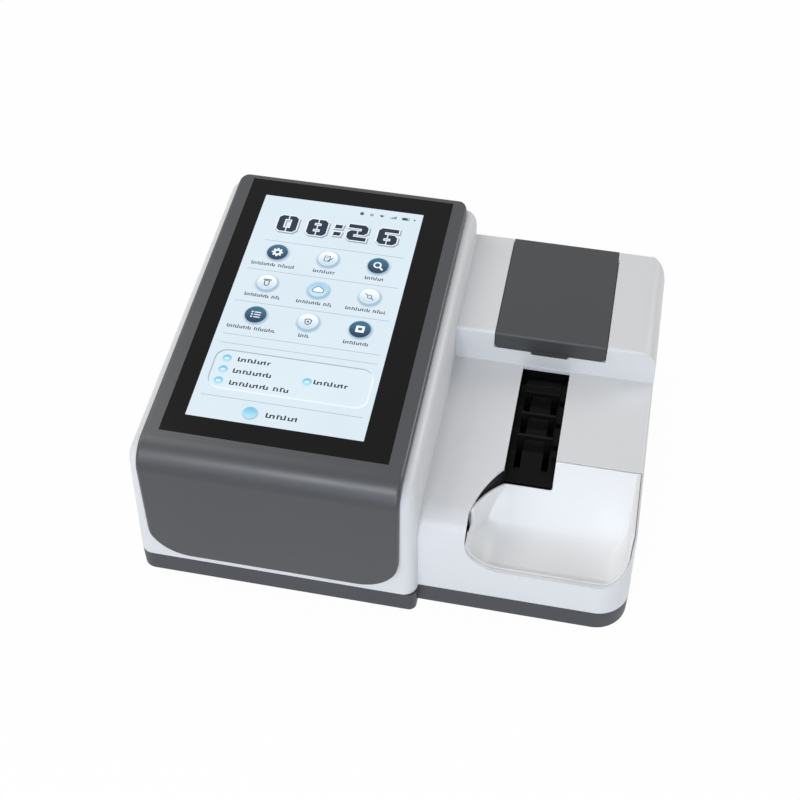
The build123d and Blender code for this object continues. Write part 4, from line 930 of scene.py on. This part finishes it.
class ANALYZER_OT_inside(bpy.types.Operator):
    """Boards, motors, gears, rods and screws: the CAD nodes with worked materials"""

    bl_idname = "analyzer.inside"
    bl_label = "Inner works"

    # Material, colour, roughness, stretch of its lines, nodes
    metals = (
        ("Plated sheet", (0.60, 0.60, 0.62), (0.28, 0.40), (30.0, 500.0, 500.0),
         ("display_frame", "lcd_panel")),
        ("Blackened sheet", (0.030, 0.030, 0.032), (0.42, 0.55), (30.0, 500.0, 500.0),
         ("lift_carriage",)),
        ("Ground steel", (0.66, 0.66, 0.68), (0.14, 0.24), (900.0, 40.0, 900.0),
         ("slide_rods", "lift_guides", "lift_plunger", "hinge_pin", "platen_shaft", "head_spring")),
        ("Screw steel", (0.42, 0.42, 0.44), (0.28, 0.42), (700.0, 700.0, 60.0),
         ("base_screws", "display_screws", "printer_screws")),
        ("Tinned shell", (0.64, 0.64, 0.66), (0.20, 0.32), (60.0, 700.0, 700.0),
         ("serial_port", "usb_port", "network_port")),
    )
    # Material, colour, roughness, grain, its depth, spread of tone, nodes
    plastics = (
        ("Motor black", (0.020, 0.020, 0.022), (0.40, 0.55), 700.0, 0.05, 0.2,
         ("comb_motor", "printer_motor", "lift_solenoid", "speaker")),
        ("Socket black", (0.012, 0.012, 0.013), (0.30, 0.42), 1500.0, 0.03, 0.2,
         ("power_inlet", "switch_frame", "power_rocker")),
        ("Acetal white", (0.70, 0.69, 0.64), (0.30, 0.38), 2000.0, 0.01, 0.03,
         ("comb_pinion", "driver_gear", "platen_gear")),
    )

    def execute(self, context):
        groups = [
            (circuit_board("Green board"), ("main_board", "power_board", "reader_board")),
            (soft_rubber("Foot rubber", (0.026, 0.026, 0.028)), ("rubber_feet",)),
        ]
        for name, colour, rough, stretch, nodes in self.metals:
            groups.append((worked_metal(name, colour, rough, stretch), nodes))
        for name, colour, rough, grain, depth, spread, nodes in self.plastics:
            groups.append((moulded_plastic(name, colour, rough, grain, depth, spread), nodes))
        for material, nodes in groups:
            for node in nodes:
                dressed(node, material)
        return {"FINISHED"}


class ANALYZER_OT_picture(bpy.types.Operator):
    """Lit background of the screen, its thin rules and the raised card"""

    bl_idname = "analyzer.picture"
    bl_label = "Screen picture"

    def execute(self, context):
        v = screen_look()
        paper = lit_picture("Screen paper", v.paper_colour)
        line = lit_picture("Screen rules", (0.38, 0.47, 0.55))
        white = lit_picture("Screen white", (0.86, 0.92, 0.96))
        card = lit_picture("Screen card", [c * 1.025 for c in v.paper_colour])
        drawing("Screen_picture", [rounded(*PICTURE, radius=0.4)], 0, paper)
        left, right = RULE_ENDS
        rules = [rounded(left, y - RULE_HALF, right, y + RULE_HALF, 0.2, 2) for y in RULE_LINES]
        rules.append(rounded(*CLOCK_RULE, radius=0.2, steps=2))
        drawing("Screen_rules", rules, 1, line)
        x0, y0, x1, y1 = CARD
        edge = CARD_EDGE
        outer = rounded(x0, y0, x1, y1, CARD_CORNER, 8)
        face = rounded(x0 + edge, y0 + edge, x1 - edge, y1 - edge, CARD_CORNER - edge, 8)
        drawing("Card_shade", [outer], 1, line, shift=(-0.55, 0.65))
        drawing("Card_light", [outer], 2, white, shift=(0.75, -0.95))
        drawing("Card_face", [face], 3, card)
        return {"FINISHED"}


class ANALYZER_OT_buttons(bpy.types.Operator):
    """Nine round buttons with soft shadows, and the small round marks of the card"""

    bl_idname = "analyzer.buttons"
    bl_label = "Screen buttons"

    def execute(self, context):
        v = screen_look()
        radius = v.button_radius
        shadow = shaded_disc("Button shadow", (0.36, 0.50, 0.62), v.paper_colour, radial=True)
        dark = shaded_disc("Button dark", (0.030, 0.140, 0.230), (0.008, 0.035, 0.085))
        pale = shaded_disc("Button pale", (0.93, 0.97, 1.0), (0.62, 0.74, 0.83))
        rim = shaded_disc("Button rim", (0.55, 0.72, 0.84), (0.30, 0.55, 0.74))
        blue = shaded_disc("Button blue", (0.36, 0.64, 0.86), (0.55, 0.78, 0.93))
        dots = shaded_disc("Small marks", (0.20, 0.55, 0.80), (0.45, 0.78, 0.94))
        darks, pales, blues = (button_places(kind) for kind in ("dark", "pale", "blue"))
        discs("Button_shadows", darks + pales + blues, radius * 1.30, 1, shadow, shift=(0.5, -0.9))
        discs("Buttons_dark", darks, radius, 3, dark)
        discs("Buttons_pale_rim", pales, radius, 2, rim)
        discs("Buttons_pale", pales, radius * 0.94, 3, pale, shift=(-0.1, 0.35))
        discs("Button_blue_rim", blues, radius, 2, rim)
        discs("Button_blue", blues, radius * 0.90, 3, blue, shift=(0.0, 0.2))
        discs("Card_marks", CARD_DOTS, CARD_DOT_RADIUS * MM, 4, dots)
        discs("Busy_shadow", [BUSY_DOT], BUSY_SHADOW_RADIUS * MM, 1, shadow, shift=(0.3, -0.6))
        discs("Busy_mark", [BUSY_DOT], BUSY_RADIUS * MM, 2, dots)
        signs = [rounded(x - 1.3, y - 0.8, x + 1.3, y + 0.8, 0.3, 2) for x, y in CARD_DOTS]
        drawing("Card_signs", signs, 5, lit_picture("Card signs", (0.80, 0.90, 0.96)))
        return {"FINISHED"}


class ANALYZER_OT_glyphs(bpy.types.Operator):
    """Plain signs on the buttons and the small signs along the screen's top"""

    bl_idname = "analyzer.glyphs"
    bl_label = "Screen signs"

    def execute(self, context):
        white = lit_picture("Sign white", (0.92, 0.96, 1.0))
        ink = lit_picture("Sign ink", (0.030, 0.055, 0.085))
        left, middle, right = BUTTON_COLUMNS
        top, centre, low = (row[0] for row in BUTTON_ROWS)
        light = moved(cog_sign(), left, top) + moved(lens_sign(), right, top)
        light += moved(list_sign(), left, low) + moved(block_sign(), right, low)
        inked = moved(cloud_sign(rim=0.5), middle, centre) + moved(note_sign(), middle, top)
        inked += moved(cup_sign(), left, centre) + moved(check_sign(), right, centre)
        inked += moved(shield_sign(), middle, low)
        drawing("Signs_light", light, 4, white)
        drawing("Signs_ink", inked, 4, ink)
        drawing("Sign_cloud", moved(cloud_sign(), middle, centre), 5, white)
        drawing("Status_signs", moved(status_signs(), 0.0, STATUS_LINE), 2, ink)
        return {"FINISHED"}


class ANALYZER_OT_clock(bpy.types.Operator):
    """Stencil digits of the clock, with a light rim and a shadow"""

    bl_idname = "analyzer.clock"
    bl_label = "Screen clock"

    def execute(self, context):
        v = screen_look()
        strokes = []
        for digit, x in CLOCK_DIGITS:
            strokes += digit_strokes(x, CLOCK_LINE, v.digit_height / MM, digit)
        for y in COLON_LINES:
            strokes.append([(-4.6, y - 1.7), (0.4, y - 1.7), (0.9, y + 1.7), (-4.1, y + 1.7)])
        shadow = lit_picture("Clock shadow", (0.30, 0.40, 0.52))
        rim = lit_picture("Clock rim", (0.93, 0.97, 1.0))
        ink = lit_picture("Clock ink", v.ink_colour, spread=0.3)
        drawing("Clock_shadow", strokes, 1, shadow, offset=1.1, shift=(0.7, -0.9))
        drawing("Clock_rim", strokes, 2, rim, offset=0.75)
        drawing("Clock_digits", strokes, 3, ink)
        return {"FINISHED"}


class ANALYZER_OT_words(bpy.types.Operator):
    """Rows of plain dashes under the buttons and on the card"""

    bl_idname = "analyzer.words"
    bl_label = "Screen dashes"

    def execute(self, context):
        small = lit_picture("Small words", (0.022, 0.034, 0.050))
        bold = lit_picture("Bold words", (0.004, 0.005, 0.007))
        marks = []
        for row, widths in zip(BUTTON_ROWS, BUTTON_MARK_WIDTHS):
            for x, wide in zip(BUTTON_COLUMNS, widths):
                line = (x - wide / 2, x + wide / 2, row[0] - BUTTON_MARK_DROP)
                marks += dashes(*line, tall=2.9, stroke=0.66)
        drawing("Button_words", marks, 1, small)
        marks = []
        for line in CARD_LINES:
            marks += dashes(*line, tall=3.5, stroke=1.0)
        drawing("Card_words", marks, 4, bold)
        drawing("Busy_words", dashes(*BUSY_LINE, tall=3.7, stroke=1.05), 1, bold)
        return {"FINISHED"}


class ANALYZER_OT_stage(bpy.types.Operator):
    """Pale floor, white surroundings, soft lamps and the camera"""

    bl_idname = "analyzer.stage"
    bl_label = "Stage"

    floor_size = 8.0
    floor_glow = 0.975  # share of plain white in what the camera sees of the floor
    sky_strength = 0.335
    aim = Vector((0, 0, 0.06))
    # Name, place and size in metres, power in watts, colour
    lamps = (
        ("Front_left_lamp", (-0.75, -1.15, 0.75), 0.9, 2.8, (0.92, 0.95, 1.0)),
        ("Front_lamp", (0.30, -1.5, 0.40), 0.8, 6.1, (0.74, 0.84, 1.0)),
        ("Crest_lamp", (-0.20, -1.22, 1.10), 0.3, 5.2, (0.90, 0.94, 1.0)),
        ("Left_top_lamp", (-0.85, 0.25, 1.2), 0.9, 5.8, (1.0, 0.99, 0.96)),
        ("Right_lamp", (1.15, 0.75, 0.75), 0.7, 5.2, (1.0, 1.0, 1.0)),
    )
    camera_spot = (270.29, -479.62, 765.75)
    camera_turn = radians(11.175)
    camera_rise = radians(48.79)
    camera_lens = 61.82

    def execute(self, context):
        scene = context.scene
        nothing_selected()
        bpy.ops.mesh.primitive_plane_add(size=self.floor_size, location=(0, 0, 0))
        floor = context.object
        floor.name = "Floor"
        floor.data.materials.append(self.floor_material())
        scene.world = self.surroundings()
        for name, spot, size, power, colour in self.lamps:
            nothing_selected()
            bpy.ops.object.light_add(type="AREA", location=spot)
            lamp = context.object
            lamp.name = name
            lamp.data.shape = "DISK"
            lamp.data.size = size
            lamp.data.energy = power
            lamp.data.color = colour
            lamp.rotation_euler = (self.aim - Vector(spot)).to_track_quat("-Z", "Y").to_euler()
        scene.camera = self.camera()
        scene.view_settings.view_transform = "Standard"
        return {"FINISHED"}

    def seen(self, tree):
        """1 where the camera, a reflection or a clear piece looks at the surroundings."""
        path = put(tree, "ShaderNodeLightPath")
        one = put(tree, "ShaderNodeMath", operation="MAXIMUM")
        two = put(tree, "ShaderNodeMath", operation="MAXIMUM")
        tree.links.new(path.outputs["Is Camera Ray"], one.inputs[0])
        tree.links.new(path.outputs["Is Glossy Ray"], one.inputs[1])
        tree.links.new(one.outputs[0], two.inputs[0])
        tree.links.new(path.outputs["Is Transmission Ray"], two.inputs[1])
        return two.outputs[0]

    def mixed(self, tree, fac, lit, plain, end):
        """Shows the plain shader where the mask says so, and the lit one elsewhere."""
        mix = put(tree, "ShaderNodeMixShader")
        tree.links.new(fac, mix.inputs[0])
        tree.links.new(lit.outputs[0], mix.inputs[1])
        tree.links.new(plain.outputs[0], mix.inputs[2])
        tree.links.new(mix.outputs[0], tree.nodes[end].inputs["Surface"])

    def surroundings(self):
        """Soft light from all around, plain white where it is looked at."""
        world = bpy.data.worlds.new("Studio")
        world.use_nodes = True
        tree = world.node_tree
        sky = tree.nodes["Background"]
        sky.inputs["Color"].default_value = (0.985, 0.99, 1.0, 1)
        sky.inputs["Strength"].default_value = self.sky_strength
        white = put(tree, "ShaderNodeBackground", Color=(1, 1, 1, 1), Strength=1.0)
        self.mixed(tree, self.seen(tree), sky, white, "World Output")
        return world

    def floor_material(self):
        """White paper that stays white for the camera and keeps a faint shadow."""
        material, tree, shader = new_material("Floor paper", Roughness=0.9)
        spot = put(tree, "ShaderNodeTexCoord")
        noise = put(tree, "ShaderNodeTexNoise", Scale=3.0)
        tree.links.new(spot.outputs["Object"], noise.inputs["Vector"])
        tone_pair(tree, noise.outputs["Fac"], shader, (0.86, 0.86, 0.86), 0.004)
        glow = put(tree, "ShaderNodeEmission", Color=(1, 1, 1, 1), Strength=1.0)
        share = put(tree, "ShaderNodeMath", operation="MULTIPLY")
        share.inputs[1].default_value = self.floor_glow
        tree.links.new(self.seen(tree), share.inputs[0])
        self.mixed(tree, share.outputs[0], shader, glow, "Material Output")
        return material

    def camera(self):
        """Camera at the photograph's angle."""
        turn, rise = self.camera_turn, self.camera_rise
        back = Vector((sin(turn) * cos(rise), -cos(turn) * cos(rise), sin(rise)))
        across = Vector((cos(turn), sin(turn), 0))
        up = back.cross(across)
        nothing_selected()
        bpy.ops.object.camera_add(location=place(*self.camera_spot))
        camera = bpy.context.object
        camera.name = "Camera"
        camera.rotation_euler = Matrix((across, up, back)).transposed().to_euler()
        camera.data.sensor_width = 36.0
        camera.data.lens = self.camera_lens
        camera.data.clip_start = 0.01
        camera.data.clip_end = 50.0
        return camera


OPERATORS = (
    ANALYZER_OT_case, ANALYZER_OT_bezel, ANALYZER_OT_tray, ANALYZER_OT_strip_path, ANALYZER_OT_printer,
    ANALYZER_OT_inside, ANALYZER_OT_picture, ANALYZER_OT_buttons, ANALYZER_OT_glyphs, ANALYZER_OT_clock,
    ANALYZER_OT_words, ANALYZER_OT_stage,
)


class ANALYZER_PT_panel(bpy.types.Panel):
    """Sidebar panel with the sizes, the colours and one button for each group of pieces"""

    bl_idname = "ANALYZER_PT_panel"
    bl_label = "Analyzer"
    bl_space_type = "VIEW_3D"
    bl_region_type = "UI"
    bl_category = "Analyzer"

    def draw(self, context):
        layout = self.layout
        for values in (context.scene.analyzer_look, context.scene.analyzer_screen):
            column = layout.column()
            for key in values.__annotations__:
                column.prop(values, key)
        for operator in OPERATORS:
            layout.operator(operator.bl_idname)


CLASSES = (AnalyzerLook, ScreenLook, *OPERATORS, ANALYZER_PT_panel)


def register():
    """Makes the add-on's classes and values known."""
    for kind in CLASSES:
        bpy.utils.register_class(kind)
    bpy.types.Scene.analyzer_look = bpy.props.PointerProperty(type=AnalyzerLook)
    bpy.types.Scene.analyzer_screen = bpy.props.PointerProperty(type=ScreenLook)


def unregister():
    """Takes them back in the other order."""
    del bpy.types.Scene.analyzer_screen
    del bpy.types.Scene.analyzer_look
    for kind in reversed(CLASSES):
        bpy.utils.unregister_class(kind)


def main():
    """Builds every piece and the stage."""
    register()
    bpy.ops.analyzer.case()
    bpy.ops.analyzer.bezel()
    bpy.ops.analyzer.tray()
    bpy.ops.analyzer.strip_path()
    bpy.ops.analyzer.printer()
    bpy.ops.analyzer.inside()
    bpy.ops.analyzer.picture()
    bpy.ops.analyzer.buttons()
    bpy.ops.analyzer.glyphs()
    bpy.ops.analyzer.clock()
    bpy.ops.analyzer.words()
    bpy.ops.analyzer.stage()


if __name__ == "__main__":
    main()
